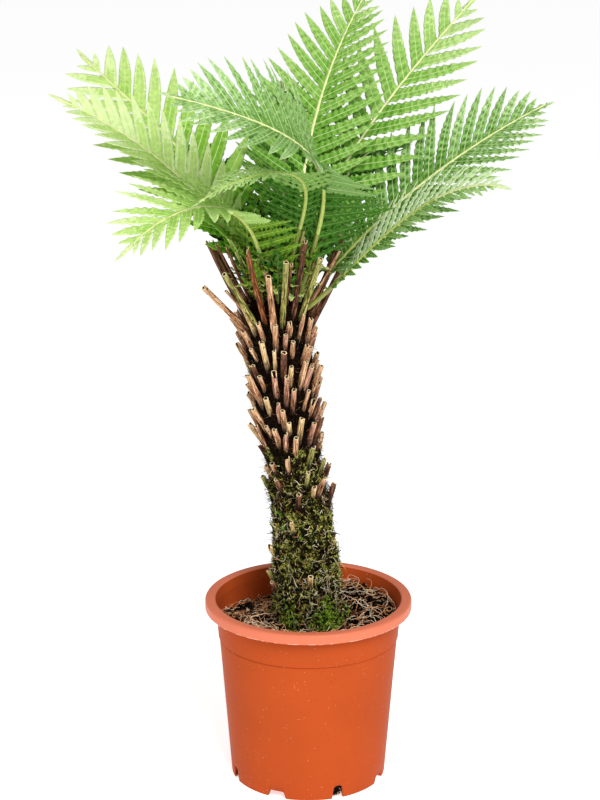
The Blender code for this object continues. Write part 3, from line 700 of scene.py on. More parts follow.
def pot_outline(wall):
    """From the middle of the inside floor, up the inside, over the rolled rim and down the outside to the foot."""
    inner_floor = FLOOR_HEIGHT + wall
    neck = POT_HEIGHT - RIM_DEPTH
    lip = RIM_RADIUS - RIM_WIDTH
    below_step = STEP_HEIGHT - 1.5 * STEP_SLOPE
    over_step = STEP_HEIGHT + 0.5 * STEP_SLOPE
    rings = [(height, 0.0) for height in WALL_RINGS]
    inside = [(inner_floor, 0.0020), *rings, (below_step, 0.0005), (over_step, 0.0005)]
    return [
        (0.0, wall, 0.0),
        (PAD_RADIUS - wall, wall, 0.0010),
        (PAD_RADIUS + PAD_SLOPE / 2, inner_floor, 0.0010),
        *[(float(wall_radius(height)) - wall, height, rounding) for height, rounding in inside],
        (NECK_RADIUS - wall, neck, 0.0040),
        (lip - LIP_SLOPE, POT_HEIGHT, 0.0022),
        (RIM_RADIUS, POT_HEIGHT, 0.0026),
        (RIM_RADIUS, neck, 0.0005),
        (RIM_RADIUS - wall, neck, 0.0005),
        (RIM_RADIUS - wall, POT_HEIGHT - wall, 0.0012),
        (lip + wall + LIP_SLOPE, POT_HEIGHT - wall, 0.0012),
        (NECK_RADIUS, neck, 0.0030),
        (float(wall_radius(STEP_HEIGHT)), STEP_HEIGHT, 0.0003),
        (STEP_RADIUS - STEP_GROOVE, STEP_HEIGHT - STEP_SLOPE / 2, 0.0002),
        (STEP_RADIUS, STEP_HEIGHT - 2 * STEP_SLOPE, 0.0003),
        *[(float(wall_radius(height)), height, 0.0) for height in reversed(WALL_RINGS)],
        (FOOT_RADIUS, 0.0, 0.0010),
        (FOOT_RADIUS - FOOT_WIDTH, 0.0, 0.0008),
        (FOOT_RADIUS - FOOT_WIDTH, FLOOR_HEIGHT, 0.0010),
        (PAD_RADIUS + PAD_SLOPE, FLOOR_HEIGHT, 0.0010),
        (PAD_RADIUS, 0.0, 0.0006),
        (0.0, 0.0, 0.0),
    ]


def notch_outline(foot_width, top_width, height, corner):
    """An arch with rounded upper corners, as points across and up from below the ground."""
    arcs = []
    for side, first_turn in ((-1, 180), (1, 90)):
        middle = Vector((side * (top_width / 2 - corner), height - corner))
        for step in range(NOTCH_CORNER_STEPS + 1):
            turn = math.radians(first_turn - 90 * step / NOTCH_CORNER_STEPS)
            arcs.append(middle + corner * Vector((math.cos(turn), math.sin(turn))))
    below = Vector((0.0, -NOTCH_BELOW))
    left, right = Vector((-foot_width / 2, 0.0)), Vector((foot_width / 2, 0.0))
    return [left + below, left] + arcs + [right, right + below]


def notch_cutter(azimuth, outline):
    """A prism of the notch's outline that passes through the pot's foot at the given azimuth."""
    bm = bmesh.new()
    face = bm.faces.new([bm.verts.new((FOOT_RADIUS - NOTCH_INNER, across, up)) for across, up in outline])
    made = bmesh.ops.extrude_face_region(bm, geom=[face])
    outer = [item for item in made["geom"] if isinstance(item, bmesh.types.BMVert)]
    bmesh.ops.translate(bm, verts=outer, vec=(NOTCH_REACH, 0.0, 0.0))
    bmesh.ops.rotate(bm, verts=bm.verts, matrix=Matrix.Rotation(math.radians(azimuth), 3, "Z"))
    bmesh.ops.recalc_face_normals(bm, faces=bm.faces)
    return bm


def cut_out(mesh, cutters):
    """Take the cutters out of a mesh and return the new mesh."""
    scene = bpy.context.scene
    target = bpy.data.objects.new("uncut", mesh)
    scene.collection.objects.link(target)
    tools = bpy.data.collections.new("cutters")
    scene.collection.children.link(tools)
    for bm in cutters:
        tools.objects.link(bpy.data.objects.new("cutter", as_mesh("cutter", bm, [])))
    cut = target.modifiers.new("Cut", "BOOLEAN")
    cut.operation, cut.operand_type, cut.collection, cut.solver = "DIFFERENCE", "COLLECTION", tools, "EXACT"
    bpy.context.view_layer.update()
    done = bpy.data.meshes.new_from_object(target.evaluated_get(bpy.context.evaluated_depsgraph_get()))
    for helper in (*tools.objects, target):
        bpy.data.objects.remove(helper, do_unlink=True)
    bpy.data.collections.remove(tools)
    return done


def moulded_plastic(name, colour, dark_specks, sheen):
    """Injection-moulded polypropylene with a semi-matt skin and fine specks of dark and pale filler."""
    material, tree, shader, place = new_material(name, 0.45, sheen)
    shader.inputs["IOR"].default_value = 1.49
    # Broad shades about 60 mm wide, where the plastic flowed.
    last = patches(tree, place, 16.0, ((0.3, shaded(colour, 0.95)), (0.7, shaded(colour, 1.04))), 2.0)
    # Specks of up to 0.8 mm, one in each 4 mm through the plastic, of which few reach the skin.
    for scale, speck, size in ((260.0, "#52200E", dark_specks), (290.0, "#F6C8AC", PALE_SPECKS)):
        cells = add_node(tree, "ShaderNodeTexVoronoi", {"Vector": place, "Scale": scale})
        spread = add_node(tree, "ShaderNodeSeparateColor", {"Color": cells.outputs["Color"]})
        limit = add_node(
            tree, "ShaderNodeMath", {0: spread.outputs["Red"], 1: size, 2: 0.0}, operation="MULTIPLY_ADD"
        )
        inside = add_node(
            tree, "ShaderNodeMath", {0: cells.outputs["Distance"], 1: limit.outputs["Value"]}, operation="LESS_THAN"
        )
        mixed = add_node(
            tree, "ShaderNodeMix", {"Factor": inside.outputs["Value"], "A": last, "B": linear(speck)}, data_type="RGBA"
        )
        last = mixed.outputs["Result"]
    tree.links.new(last, shader.inputs["Base Color"])
    relief(tree, shader, place, 900.0, 0.25, 0.00025)
    return material


class FERN_OT_pot(bpy.types.Operator):
    """Build the nursery pot with its rolled rim, its step and the notches in its foot"""

    bl_idname = "fern.pot"
    bl_label = "Pot"

    def execute(self, context):
        settings = context.scene.fern_pot
        bm = bmesh.new()
        verts = [bm.verts.new((radius, 0.0, height)) for radius, height in rounded(pot_outline(settings.wall))]
        edges = [bm.edges.new(pair) for pair in zip(verts, verts[1:])]
        bmesh.ops.spin(
            bm, geom=verts + edges, cent=(0, 0, 0), axis=(0, 0, 1), angle=math.tau, steps=settings.steps,
            use_merge=True, use_normal_flip=False, use_duplicate=False,
        )
        bmesh.ops.remove_doubles(bm, verts=bm.verts, dist=1e-6)
        bmesh.ops.recalc_face_normals(bm, faces=bm.faces)
        neck = POT_HEIGHT - RIM_DEPTH
        skirt_inside = RIM_RADIUS - settings.wall - FLASH_IN

        def on_edge(spot):
            return spot.xy.length > skirt_inside and spot.z < neck + FLASH_UP

        for vert in bm.verts:
            if on_edge(vert.co):
                vert.co.z -= settings.flash * max(0.0, lumps(vert.co, (1.0, 420), (0.6, 1300)))
        for face in bm.faces:
            middle = face.calc_center_median()
            on_rim = middle.z > neck - RIM_MARGIN and middle.xy.length > RIM_RADIUS - RIM_WIDTH - RIM_MARGIN
            face.material_index = 1 if on_rim else 0
            if on_edge(middle) and noise.noise(middle * 260) > FLASH_SHARE:
                face.material_index = 2
        cutters = []
        for form in (DRAIN_HOLE, FOOT_ARCH):
            outline = notch_outline(form["foot_width"], form["top_width"], form["height"], form["corner"])
            cutters += [notch_cutter(form["azimuth"] + turn, outline) for turn in range(0, 360, NOTCH_TURN)]
        materials = [
            moulded_plastic("pot_moulded_plastic", list(settings.colour), 0.105, 0.03),
            moulded_plastic("pot_rim_moulded_plastic", list(settings.rim_colour), 0.030, 0.24),
            # The pale edge is partly moulding flash and partly a painted highlight.
            moulded_plastic("pot_flash_painted_highlight", linear("#F4CDB8"), 0.0, 0.28),
        ]
        new_piece("pot_body", cut_out(as_mesh("pot_body", bm, materials, 32), cutters), "pot", "pot")
        return {"FINISHED"}


# Soil: clods of peat, chips of bark and bits of pale husk on it, as azimuth, radius, size and kind.
CHIPS = (
    (262, 0.062, 0.0046, 2), (255, 0.058, 0.0036, 2), (268, 0.067, 0.0030, 2), (244, 0.064, 0.0028, 2),
    (277, 0.052, 0.0030, 3), (330, 0.060, 0.0026, 3), (215, 0.072, 0.0030, 2), (60, 0.062, 0.0036, 2),
    (120, 0.070, 0.0030, 2), (160, 0.066, 0.0028, 3), (150, 0.072, 0.0052, 0), (157, 0.065, 0.0058, 0),
    (165, 0.075, 0.0048, 0), (172, 0.069, 0.0054, 0), (144, 0.062, 0.0048, 0), (180, 0.077, 0.0042, 0),
    (168, 0.060, 0.0044, 0), (30, 0.062, 0.0052, 0), (40, 0.067, 0.0050, 0), (24, 0.070, 0.0046, 0),
    (50, 0.060, 0.0048, 0), (196, 0.070, 0.0036, 0), (352, 0.068, 0.0036, 0),
)
CRUMB_FACES = 20
CRUMB_KINDS = (0.85, 0.10, 0.05)
# Shares of tan, brown, pale and white roots: mostly warm tan, partly as painted reflection of the orange pot, and few
# white.
ROOT_KINDS = (0.44, 0.26, 0.26, 0.04)
SOIL_SEED = 21
# How the soil's surface lies, and how far its body stays from the pot.
SOIL_SINK = 0.0006
SOIL_ROOM = 0.0006
SOIL_LOWEST = STEP_HEIGHT + 0.002
SOIL_RINGS = (STEP_HEIGHT + 0.0012, STEP_HEIGHT - 0.0025, FLOOR_HEIGHT + POT_WALL + 0.0003)
# Where crumbs and roots lie, from the pot's axis, and how far they stay from its wall.
CRUMB_RING, CRUMB_ROOM = (0.036, 0.0905), 0.0002
ROOT_RING, ROOT_REACH, ROOT_ROOM = (0.042, 0.089), 0.0905, 0.0012
ROOT_POINTS, ROOT_STEP, ROOT_CURL, ROOT_LIFT = 20, 0.0022, 0.075, 0.0004
HEAP_AZIMUTH, HEAP_WIDTH, HEAP_SHARE = 38, 34, 0.55
STRAW_TURN, STRAW_REACH, STRAW_RADIUS, STRAW_FALL, STRAW_LIFT = (196, 244), 0.0885, 0.0009, 0.002, 0.0012
# What shows in a drain notch: crumbs and roots, as distances from the axis, across and up.
NOTCH_CRUMBS, NOTCH_CRUMB_OUT, NOTCH_CRUMB_UP = 110, (0.0745, 0.0768), (0.0040, 0.0132)
NOTCH_TAPER, NOTCH_CRUMB_ROOM = 0.20, 0.0014
NOTCH_ROOTS, NOTCH_ROOT_POINTS = 8, 6
NOTCH_ROOT_SPACE = (0.0755, -0.0045, 0.0015), (0.0785, 0.0045, 0.0125)
NOTCH_ROOT_OUT, NOTCH_ROOT_UP = (0.0750, 0.0788), (0.0008, 0.0135)


def soil_height(x, y, clod):
    """Height of the finished soil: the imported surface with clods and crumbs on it."""
    uneven = lumps(Vector((x, y, 0.0)), (0.7, 95), (0.5, 260), (0.28, 700))
    return SOIL_LEVEL - SOIL_SINK + float(soil_rise(x, y)) + clod * uneven


def soil_edge(height):
    return float(wall_radius(height)) - POT_WALL - SOIL_ROOM


def on_soil(places, clod, lift=0.0):
    """Level places as points on the finished soil, raised so far from it."""
    heights = np.array([soil_height(x, y, clod) for x, y in places.reshape(-1, 2)]).reshape(places.shape[:-1])
    return np.concatenate([places, (heights + lift)[..., None]], axis=-1)


def peat(name, *colours, roughness=0.95):
    """Moist peat: near-black crumbs with brown fibres in them, quite dull."""
    material, tree, shader, place = patchy_material(name, roughness, 0.06, 330.0, even_stops(*colours), 5.0, 0.6)
    relief(tree, shader, place, 1500.0, 0.8, 0.0006)
    return material


class FERN_OT_soil(bpy.types.Operator):
    """Build the body of soil that fills the pot"""

    bl_idname = "fern.soil"
    bl_label = "Soil"

    def execute(self, context):
        settings = context.scene.fern_soil
        bm = bmesh.new()
        bmesh.ops.create_grid(bm, x_segments=settings.grid, y_segments=settings.grid, size=1.0)
        for vert in bm.verts:
            across, along = vert.co.x, vert.co.y
            disc = Vector((across * math.sqrt(1 - along ** 2 / 2), along * math.sqrt(1 - across ** 2 / 2)))
            rough = disc * soil_edge(SOIL_LEVEL)
            height = max(SOIL_LOWEST, soil_height(rough.x, rough.y, settings.clod))
            place = disc * soil_edge(height)
            vert.co = (place.x, place.y, height)
        edges = [edge for edge in bm.edges if edge.is_boundary]
        for height in SOIL_RINGS:
            made = bmesh.ops.extrude_edge_only(bm, edges=edges)["geom"]
            edges = [item for item in made if isinstance(item, bmesh.types.BMEdge)]
            for vert in {vert for edge in edges for vert in edge.verts}:
                turn = math.atan2(vert.co.y, vert.co.x)
                reach = soil_edge(height)
                vert.co = (reach * math.cos(turn), reach * math.sin(turn), height)
        bmesh.ops.edgeloop_fill(bm, edges=edges)
        bmesh.ops.recalc_face_normals(bm, faces=bm.faces)
        finish = peat("soil_peat", "#030201", "#0A0503", "#180E08", "#38230F")
        new_piece("soil_body", as_mesh("soil_body", bm, [finish], 60), "soil", "soil")
        return {"FINISHED"}


def soil_spots(rng, count, inner, outer):
    """Level places scattered on the soil between two radii, and their azimuths."""
    azimuth = rng.uniform(0, 360, count)
    radius = np.sqrt(rng.uniform(inner ** 2, outer ** 2, count))
    return radius[:, None] * headings(azimuth)[:, :2], azimuth


def crumb_copies(rng, spots, sizes):
    """Uneven crumbs from one small rounded form, each turned and stretched at random."""
    bm = bmesh.new()
    bmesh.ops.create_icosphere(bm, subdivisions=1, radius=1.0)
    for vert in bm.verts:
        vert.co *= 1 + 0.3 * wobble(vert.index, 11)
    turns = np.linalg.qr(rng.normal(size=(len(spots), 3, 3)))[0]
    turns *= np.sign(np.linalg.det(turns))[:, None, None]
    stretch = sizes[:, None] * rng.uniform(0.6, 1.3, (len(spots), 3))
    return copies(bm, (turns * stretch[:, None, :], spots))


def within_wall(points, room):
    """Points of crumbs or roots, moved inwards where they would stand in the pot's wall."""
    reach = np.linalg.norm(points[..., :2], axis=-1)
    pull = np.minimum(1.0, (wall_radius(points[..., 2]) - POT_WALL - room) / np.maximum(reach, 1e-6))
    return np.concatenate([points[..., :2] * pull[..., None], points[..., 2:]], axis=-1)


def wander(rng, starts, heading, count, steps, step, curl):
    """Level paths that wander from their starts, with a turn that changes as they go."""
    bend = np.cumsum(rng.normal(0, curl, (count, steps)), axis=1) + rng.normal(0, curl, (count, 1))
    turn = heading[:, None] + np.cumsum(bend, axis=1)
    moves = np.stack([np.cos(turn), np.sin(turn)], axis=-1) * step
    return starts[:, None, :] + np.concatenate([np.zeros((count, 1, 2)), np.cumsum(moves, axis=1)[:, :-1]], axis=1)


class FERN_OT_soil_litter(bpy.types.Operator):
    """Scatter crumbs, curly roots and a straw on the soil, and fill the drain notches"""

    bl_idname = "fern.soil_litter"
    bl_label = "Soil litter"

    def execute(self, context):
        settings = context.scene.fern_soil
        rng = np.random.default_rng(SOIL_SEED)
        self.crumbs(settings, rng)
        self.roots(settings, rng)
        self.notches(rng)
        return {"FINISHED"}

    def crumbs(self, settings, rng):
        places, _ = soil_spots(rng, settings.crumbs, *CRUMB_RING)
        sizes = 0.0007 + 0.0024 * rng.random(settings.crumbs) ** 2.2
        points, faces = crumb_copies(rng, on_soil(places, settings.clod, 0.3 * sizes), sizes)
        kinds = rng.choice(3, settings.crumbs, p=CRUMB_KINDS)
        azimuth, radius, sizes, chip_kinds = np.array(CHIPS).T
        places = radius[:, None] * headings(azimuth)[:, :2]
        chip_points, chip_faces = crumb_copies(rng, on_soil(places, settings.clod, 0.5 * sizes), sizes)
        faces = np.concatenate([faces, chip_faces + len(points)])
        points = within_wall(np.concatenate([points, chip_points]), CRUMB_ROOM)
        slots = np.repeat(np.concatenate([kinds, chip_kinds.astype(int)]), CRUMB_FACES)
        materials = [
            peat("crumb_black_peat", "#040202", "#0D0805", "#1E140C"),
            peat("crumb_brown_peat", "#1C0F08", "#442818", "#805436"),
            peat("crumb_bark", "#4A2C1C", "#8A5A42", "#C09078", roughness=0.85),
            plain_fibre("chip_cream", "#C8B48C", "#F4E6C6"),
        ]
        mesh = mesh_from_arrays("soil_crumbs", points, [(faces, slots)], materials, smooth=False)
        new_piece("soil_crumbs", mesh, "soil", "soil")

    def roots(self, settings, rng):
        count, steps = settings.roots, ROOT_POINTS
        places, azimuth = soil_spots(rng, count, *ROOT_RING)
        paths = wander(rng, places, rng.uniform(0, 2 * np.pi, count), count, steps, ROOT_STEP, ROOT_CURL)
        reach = np.linalg.norm(paths, axis=-1, keepdims=True)
        paths = on_soil(paths * np.minimum(1.0, ROOT_REACH / reach), settings.clod)
        share = np.linspace(0, 1, steps)[None, :]
        hump = rng.uniform(0.0005, 0.0060, (count, 1)) * np.sin(np.pi * share)
        hump += rng.uniform(-0.0006, 0.0008, (count, 1))
        # The roots on the heap at the back right stand up from the soil, and lean inwards.
        away = (azimuth - HEAP_AZIMUTH + 180) % 360 - 180
        heap = np.exp(-(away / HEAP_WIDTH) ** 2) * (rng.random(count) < HEAP_SHARE)
        paths[..., 2] += ROOT_LIFT + hump
        paths[..., 2] += (heap * rng.uniform(0.004, 0.022, count))[:, None] * share ** 1.4
        paths[..., :2] *= 1 - 0.10 * (heap[:, None] * share ** 2)[..., None]
        radii = (0.00020 + 0.00026 * rng.random((count, 1)) ** 1.5) * (1 - 0.4 * share)
        kinds = rng.choice(4, count, p=ROOT_KINDS)
        # The last strand is a dry straw that lies along the wall at the left.
        straw = STRAW_REACH * headings(np.linspace(*STRAW_TURN, steps))[:, :2]
        top = on_soil(straw, settings.clod)[:, 2].max()
        height = np.linspace(top, top - STRAW_FALL, steps) + STRAW_LIFT
        straw = np.concatenate([straw, height[:, None]], axis=-1)
        paths = within_wall(np.concatenate([paths, straw[None]]), ROOT_ROOM)
        radii = np.concatenate([radii, np.full((1, steps), STRAW_RADIUS)])
        materials = [
            plain_fibre("root_tan", "#CE8850", "#FFCE9A"), plain_fibre("root_brown", "#5E341E", "#AA7250"),
            plain_fibre("root_pale", "#F4C898", "#FFF2DC"), plain_fibre("root_white", "#D8CBB0", "#F2E9D4"),
        ]
        strand_piece("soil_roots", paths, radii, 5, np.append(kinds, 2), materials, "soil", "soil")

    def notches(self, rng):
        """Soil and roots that show in the four drain notches of the foot."""
        spots, paths, steps, up = [], [], NOTCH_ROOT_POINTS, np.array((0, 0, 1))
        for turn in range(0, 360, NOTCH_TURN):
            azimuth = DRAIN_HOLE["azimuth"] + turn
            out, across = np.array(polar(azimuth, 1.0)), np.array(polar(azimuth + 90, 1.0))
            for _ in range(NOTCH_CRUMBS):
                height = rng.uniform(*NOTCH_CRUMB_UP)
                wide = 0.5 * (DRAIN_HOLE["foot_width"] - NOTCH_TAPER * height) - NOTCH_CRUMB_ROOM
                spots.append(out * rng.uniform(*NOTCH_CRUMB_OUT) + across * rng.uniform(-wide, wide) + up * height)
            for _ in range(NOTCH_ROOTS):
                start, end = rng.uniform(*NOTCH_ROOT_SPACE, (2, 3))
                line = np.linspace(start, end, steps) + rng.normal(0, 0.0006, (steps, 3))
                line[:, 0] = np.clip(line[:, 0], *NOTCH_ROOT_OUT)
                line[:, 2] = np.clip(line[:, 2], *NOTCH_ROOT_UP)
                paths.append(line[:, :1] * out + line[:, 1:2] * across + line[:, 2:] * up)
        points, faces = crumb_copies(rng, np.array(spots), rng.uniform(0.0012, 0.0021, len(spots)))
        dark = peat("notch_black_peat", "#030201", "#0A0604", "#1A110A")
        mesh = mesh_from_arrays("notch_soil", points, [(faces, 0)], [dark], smooth=False)
        new_piece("notch_soil", mesh, "soil", "soil")
        radii = np.tile(rng.uniform(0.00018, 0.00034, (len(paths), 1)), (1, steps))
        kinds = rng.choice(2, len(paths))
        materials = [bpy.data.materials["root_tan"], bpy.data.materials["root_pale"]]
        strand_piece("notch_roots", np.array(paths), radii, 5, kinds, materials, "soil", "soil")


# Trunk: how far the skin lies back below the cut stalks, where rootlets and moss fill it up again, how far the trunk
# reaches down into the soil, the shares of its grid below the dome and in it, and the height where the moss ends.
SKIN_SINK = 0.0028
CORE_SINK = 0.006
DOME_FROM, DOME_SHARE = 0.96, 0.04
MOSS_TOP = 0.350


def core_point(azimuth, share, depth):
    """A point of the rough trunk, from below the soil up to the middle of its domed top."""
    dome = max(0.0, (share - DOME_FROM) / DOME_SHARE)
    height = SOIL_LEVEL - CORE_SINK + (TRUNK_TOP - SOIL_LEVEL + CORE_SINK) * min(1.0, share / DOME_FROM)
    middle, radius = trunk_form(height)
    radius *= float(trunk_lump(azimuth, height)) if not dome else 1.0
    spot = Vector((middle, 0, height)) + polar(azimuth, radius)
    ridges = noise.noise(Vector((spot.x * 360, spot.y * 360, spot.z * 60)))
    # The lower trunk is rougher.
    coarse = 1.0 + 0.9 * float(smoothstep(MOSS_TOP, 0.300, height))
    uneven = coarse * lumps(spot, (1.0, 85), (0.7, 230)) * 0.8 + 0.6 * ridges + lumps(spot, (0.35, 620))
    out = depth * uneven - SKIN_SINK * (coarse - 1.0)
    turn = dome * math.pi / 2
    return Vector((middle, 0, height + TRUNK_DOME * math.sin(turn))) + polar(azimuth, (radius + out) * math.cos(turn))


def fibrous_mass():
    """Matted root fibres: black and dull above, with brown, grey and olive crumbs of old moss in them below.
    The near-black is partly the fibres' own colour and partly painted shade for the gaps between stalks and rootlets.
    """
    material, tree, shader, place = new_material("trunk_fibrous_mass", 0.96, 0.05)
    upper = patches(tree, place, 420.0, even_stops("#020101", "#070402", "#120A05", "#34210F"), 4.0, 1.0)
    lower = patches(tree, place, 300.0, even_stops("#020201", "#070502", "#17150A", "#4C4E18", "#AEAC54"), 4.0, 1.0)
    height = add_node(tree, "ShaderNodeSeparateXYZ", {"Vector": place}).outputs["Z"]
    tree.links.new(overlay(tree, upper, lower, height, MOSS_TOP, 0.290), shader.inputs["Base Color"])
    relief(tree, shader, place, 1300.0, 0.9, 0.0008)
    return material


class FERN_OT_trunk(bpy.types.Operator):
    """Build the rough fibrous trunk from the soil to its domed top"""

    bl_idname = "fern.trunk"
    bl_label = "Trunk"

    def execute(self, context):
        settings = context.scene.fern_trunk
        bm = bmesh.new()
        bmesh.ops.create_grid(bm, x_segments=settings.around, y_segments=settings.upward, size=0.5)
        for vert in bm.verts:
            azimuth = 360 * ((vert.co.x + 0.5) % 1.0)
            vert.co = core_point(azimuth, vert.co.y + 0.5, settings.relief)
        bmesh.ops.remove_doubles(bm, verts=bm.verts, dist=1e-6)
        bmesh.ops.edgeloop_fill(bm, edges=[edge for edge in bm.edges if edge.is_boundary])
        bmesh.ops.recalc_face_normals(bm, faces=bm.faces)
        new_piece("trunk_core", as_mesh("trunk_core", bm, [fibrous_mass()], 80), "trunk", "trunk")
        return {"FINISHED"}


# The colours of a stalk's skin from dark to light, and how dark its cracks are.
STALK_LOOKS = {
    "tan": ("#241409", "#865638", "#C09068", "#ECC79E"),
    "pink": ("#26150C", "#7C4C36", "#B28062", "#E2B497"),
    "straw": ("#3C2814", "#A07C4A", "#D6B27C", "#F6DEB2"),
    "brown": ("#0C0603", "#331C0F", "#623A26", "#9C6E50"),
    "rust": ("#1A0A04", "#502610", "#804422", "#B87A4A"),
    "olive": ("#1C1A08", "#565220", "#8E8A42", "#C4BC78"),
}
SKINS = tuple(STALK_LOOKS)
CUT_RIM, PIT = len(SKINS), len(SKINS) + 1
STEM_SIDES = 12
STEM_RING = 0.006
# How much wider a stalk is at its foot, how much it narrows, and how bowed, oval, angular and lumpy it is.
STEM_WIDE, STEM_NARROWS = 1.12, 0.22
STEM_BOW, STEM_OVAL, STEM_ANGULAR, STEM_LUMPY = 0.05, 0.14, 0.09, 0.06
# The angle from its middle to which a torn side reaches.
TORN_REACH = 1.3
# How far the darkening reaches from a stalk's foot, partly stain and partly painted shade, and the value of the
# mark where it ends, where the painted highlight of the lit top begins.
DIRT_AND_SHADE_REACH, DARK_FOOT_END = 0.034, 0.70
# How many streaks fit in a metre round a stalk of the usual thickness, and along it.
GRAIN_ROUND, GRAIN_ALONG = 2.6 / 0.0029, 1 / 0.011
SHORT_STUB = 0.017
LONG_SALT = 300


def stalk_skin(name, colours):
    """Skin of a fern stalk: dull plant fibre with streaks along it about 0.7 mm wide, and short dark cracks."""
    material, tree, shader, place = new_material(f"stalk_skin_{name}", 0.8, 0.18)
    grain = add_node(tree, "ShaderNodeAttribute", attribute_name="grain").outputs["Vector"]
    # How far a place is from the stalk's foot: darker towards the foot, partly stained by the wet fibres there and
    # partly painted shade, and lighter towards the cut as a painted highlight on the lit top.
    dirt_shade_and_light = add_node(tree, "ShaderNodeAttribute", attribute_name="dirt_shade_and_light").outputs["Fac"]
    cracks = add_node(tree, "ShaderNodeTexNoise", {"Vector": place, "Scale": 420.0, "Detail": 3.0}).outputs["Fac"]
    last = patches(tree, grain, 1.0, even_stops(*colours), 4.0)
    last = overlay(tree, last, linear("#0B0603"), dirt_shade_and_light, 0.66, 0.14, 0.92)
    # Painted highlight on the lit top of the stalk, towards the cut.
    last = overlay(tree, last, linear(colours[-1]), dirt_shade_and_light, DARK_FOOT_END, 1.00, 0.34)
    last = overlay(tree, last, linear(colours[0]), cracks, 0.40, 0.32)
    tree.links.new(last, shader.inputs["Base Color"])
    relief(tree, shader, grain, 1.4, 0.7, 0.0005)
    return material


def stem(bm, foot, along, length, radius, salt, skin, ragged, split):
    """A cut frond stalk: an uneven tube carried ring by ring, with a cut rim round a dark hollow.

    The rim's corners stand up to ragged above or below the cut. A split stalk has one side torn down.
    """
    side = along.orthogonal().normalized()
    up = along.cross(side)
    grain, dirt_shade_and_light = bm.verts.layers.float_vector["grain"], bm.verts.layers.float["dirt_shade_and_light"]
    rings = max(5, round(length / STEM_RING))
    bow = length * STEM_BOW * wobble(salt, 31)
    oval, oval_turn = STEM_OVAL * wobble(salt, 32), math.pi * wobble(salt, 33)
    torn = math.pi * wobble(salt, 34)
    made = bmesh.ops.create_circle(bm, segments=STEM_SIDES, radius=1.0)["verts"]
    turns = {vert: math.atan2(vert.co.y, vert.co.x) for vert in made}
    first = edges = list(dict.fromkeys(edge for vert in made for edge in vert.link_edges))

    def lay(verts, share, draw_in, drop=0.0):
        taper = (STEM_WIDE - STEM_NARROWS * share) * radius * draw_in
        for vert, turn in verts.items():
            jag = drop
            if share == 1.0:
                away = abs((turn - torn + math.pi) % math.tau - math.pi)
                jag += ragged * wobble(salt + 7 * turn, 35) - split * max(0.0, 1 - away / TORN_REACH)
            corner = STEM_ANGULAR * wobble(salt + round(4 * turn), 36)
            reach = taper * (1 + oval * math.cos(2 * (turn - oval_turn)) + corner)
            reach *= 1 + STEM_LUMPY * wobble(salt + 13 * share, 37)
            middle = foot + along * (length * share + jag) + side * bow * share ** 2
            vert.co = middle + side * reach * math.cos(turn) + up * reach * math.sin(turn)
            vert[dirt_shade_and_light] = max(share, min(DARK_FOOT_END, share * length / DIRT_AND_SHADE_REACH))
            around = GRAIN_ROUND * radius
            vert[grain] = (around * math.cos(turn), around * math.sin(turn), GRAIN_ALONG * length * share + 17 * salt)

    def carry(edges, verts, kind):
        places = {tuple(vert.co): turn for vert, turn in verts.items()}
        made = bmesh.ops.extrude_edge_only(bm, edges=edges)["geom"]
        for face in made:
            if isinstance(face, bmesh.types.BMFace):
                face.material_index = kind
        after = {vert: places[tuple(vert.co)] for vert in made if isinstance(vert, bmesh.types.BMVert)}
        return [edge for edge in made if isinstance(edge, bmesh.types.BMEdge)], after

    lay(turns, 0.0, 1.0)
    for ring in range(1, rings + 1):
        edges, turns = carry(edges, turns, skin)
        lay(turns, ring / rings, 1.0)
    for draw_in, drop, kind in ((0.90, 0.0003, CUT_RIM), (0.64, 0.0001, CUT_RIM), (0.56, -1.5 * radius, PIT)):
        edges, turns = carry(edges, turns, kind)
        lay(turns, 1.0, draw_in, drop)
    for face in bmesh.ops.edgeloop_fill(bm, edges=edges)["faces"]:
        face.material_index = PIT
    bmesh.ops.edgeloop_fill(bm, edges=first)


def stalk_materials():
    """The skins, the pale cut ring of fresh fibre, and the dark rotted pith in the hollow."""
    skins = [stalk_skin(name, colours) for name, colours in STALK_LOOKS.items()]
    return skins + [
        plain_fibre("stalk_cut_rim", "#C9A878", "#F3E2BC", 0.75),
        plain_fibre("stalk_rotted_pith", "#1C100A", "#4A2E1C"),
    ]


def stem_piece(name, stems, materials):
    """Join stems, each with the arguments of stem(), to one piece."""
    bm = bmesh.new()
    for form in stems:
        small = bmesh.new()
        small.verts.layers.float_vector.new("grain")
        small.verts.layers.float.new("dirt_shade_and_light")
        stem(small, *form)
        bmesh.ops.recalc_face_normals(small, faces=small.faces)
        part = bpy.data.meshes.new("stem")
        small.to_mesh(part)
        small.free()
        bm.from_mesh(part)
        bpy.data.meshes.remove(part)
    new_piece(name, as_mesh(name, bm, materials, 50), "trunk", "trunk")


def spiral(first, count, foot, head, length, radius):
    """The forms of stubs that wind up the trunk from one height to another."""
    for number in range(first, first + count):
        height = foot + (head - foot) * (number - first + 0.5) / count
        yield number, GOLDEN_ANGLE * number, height, length, radius


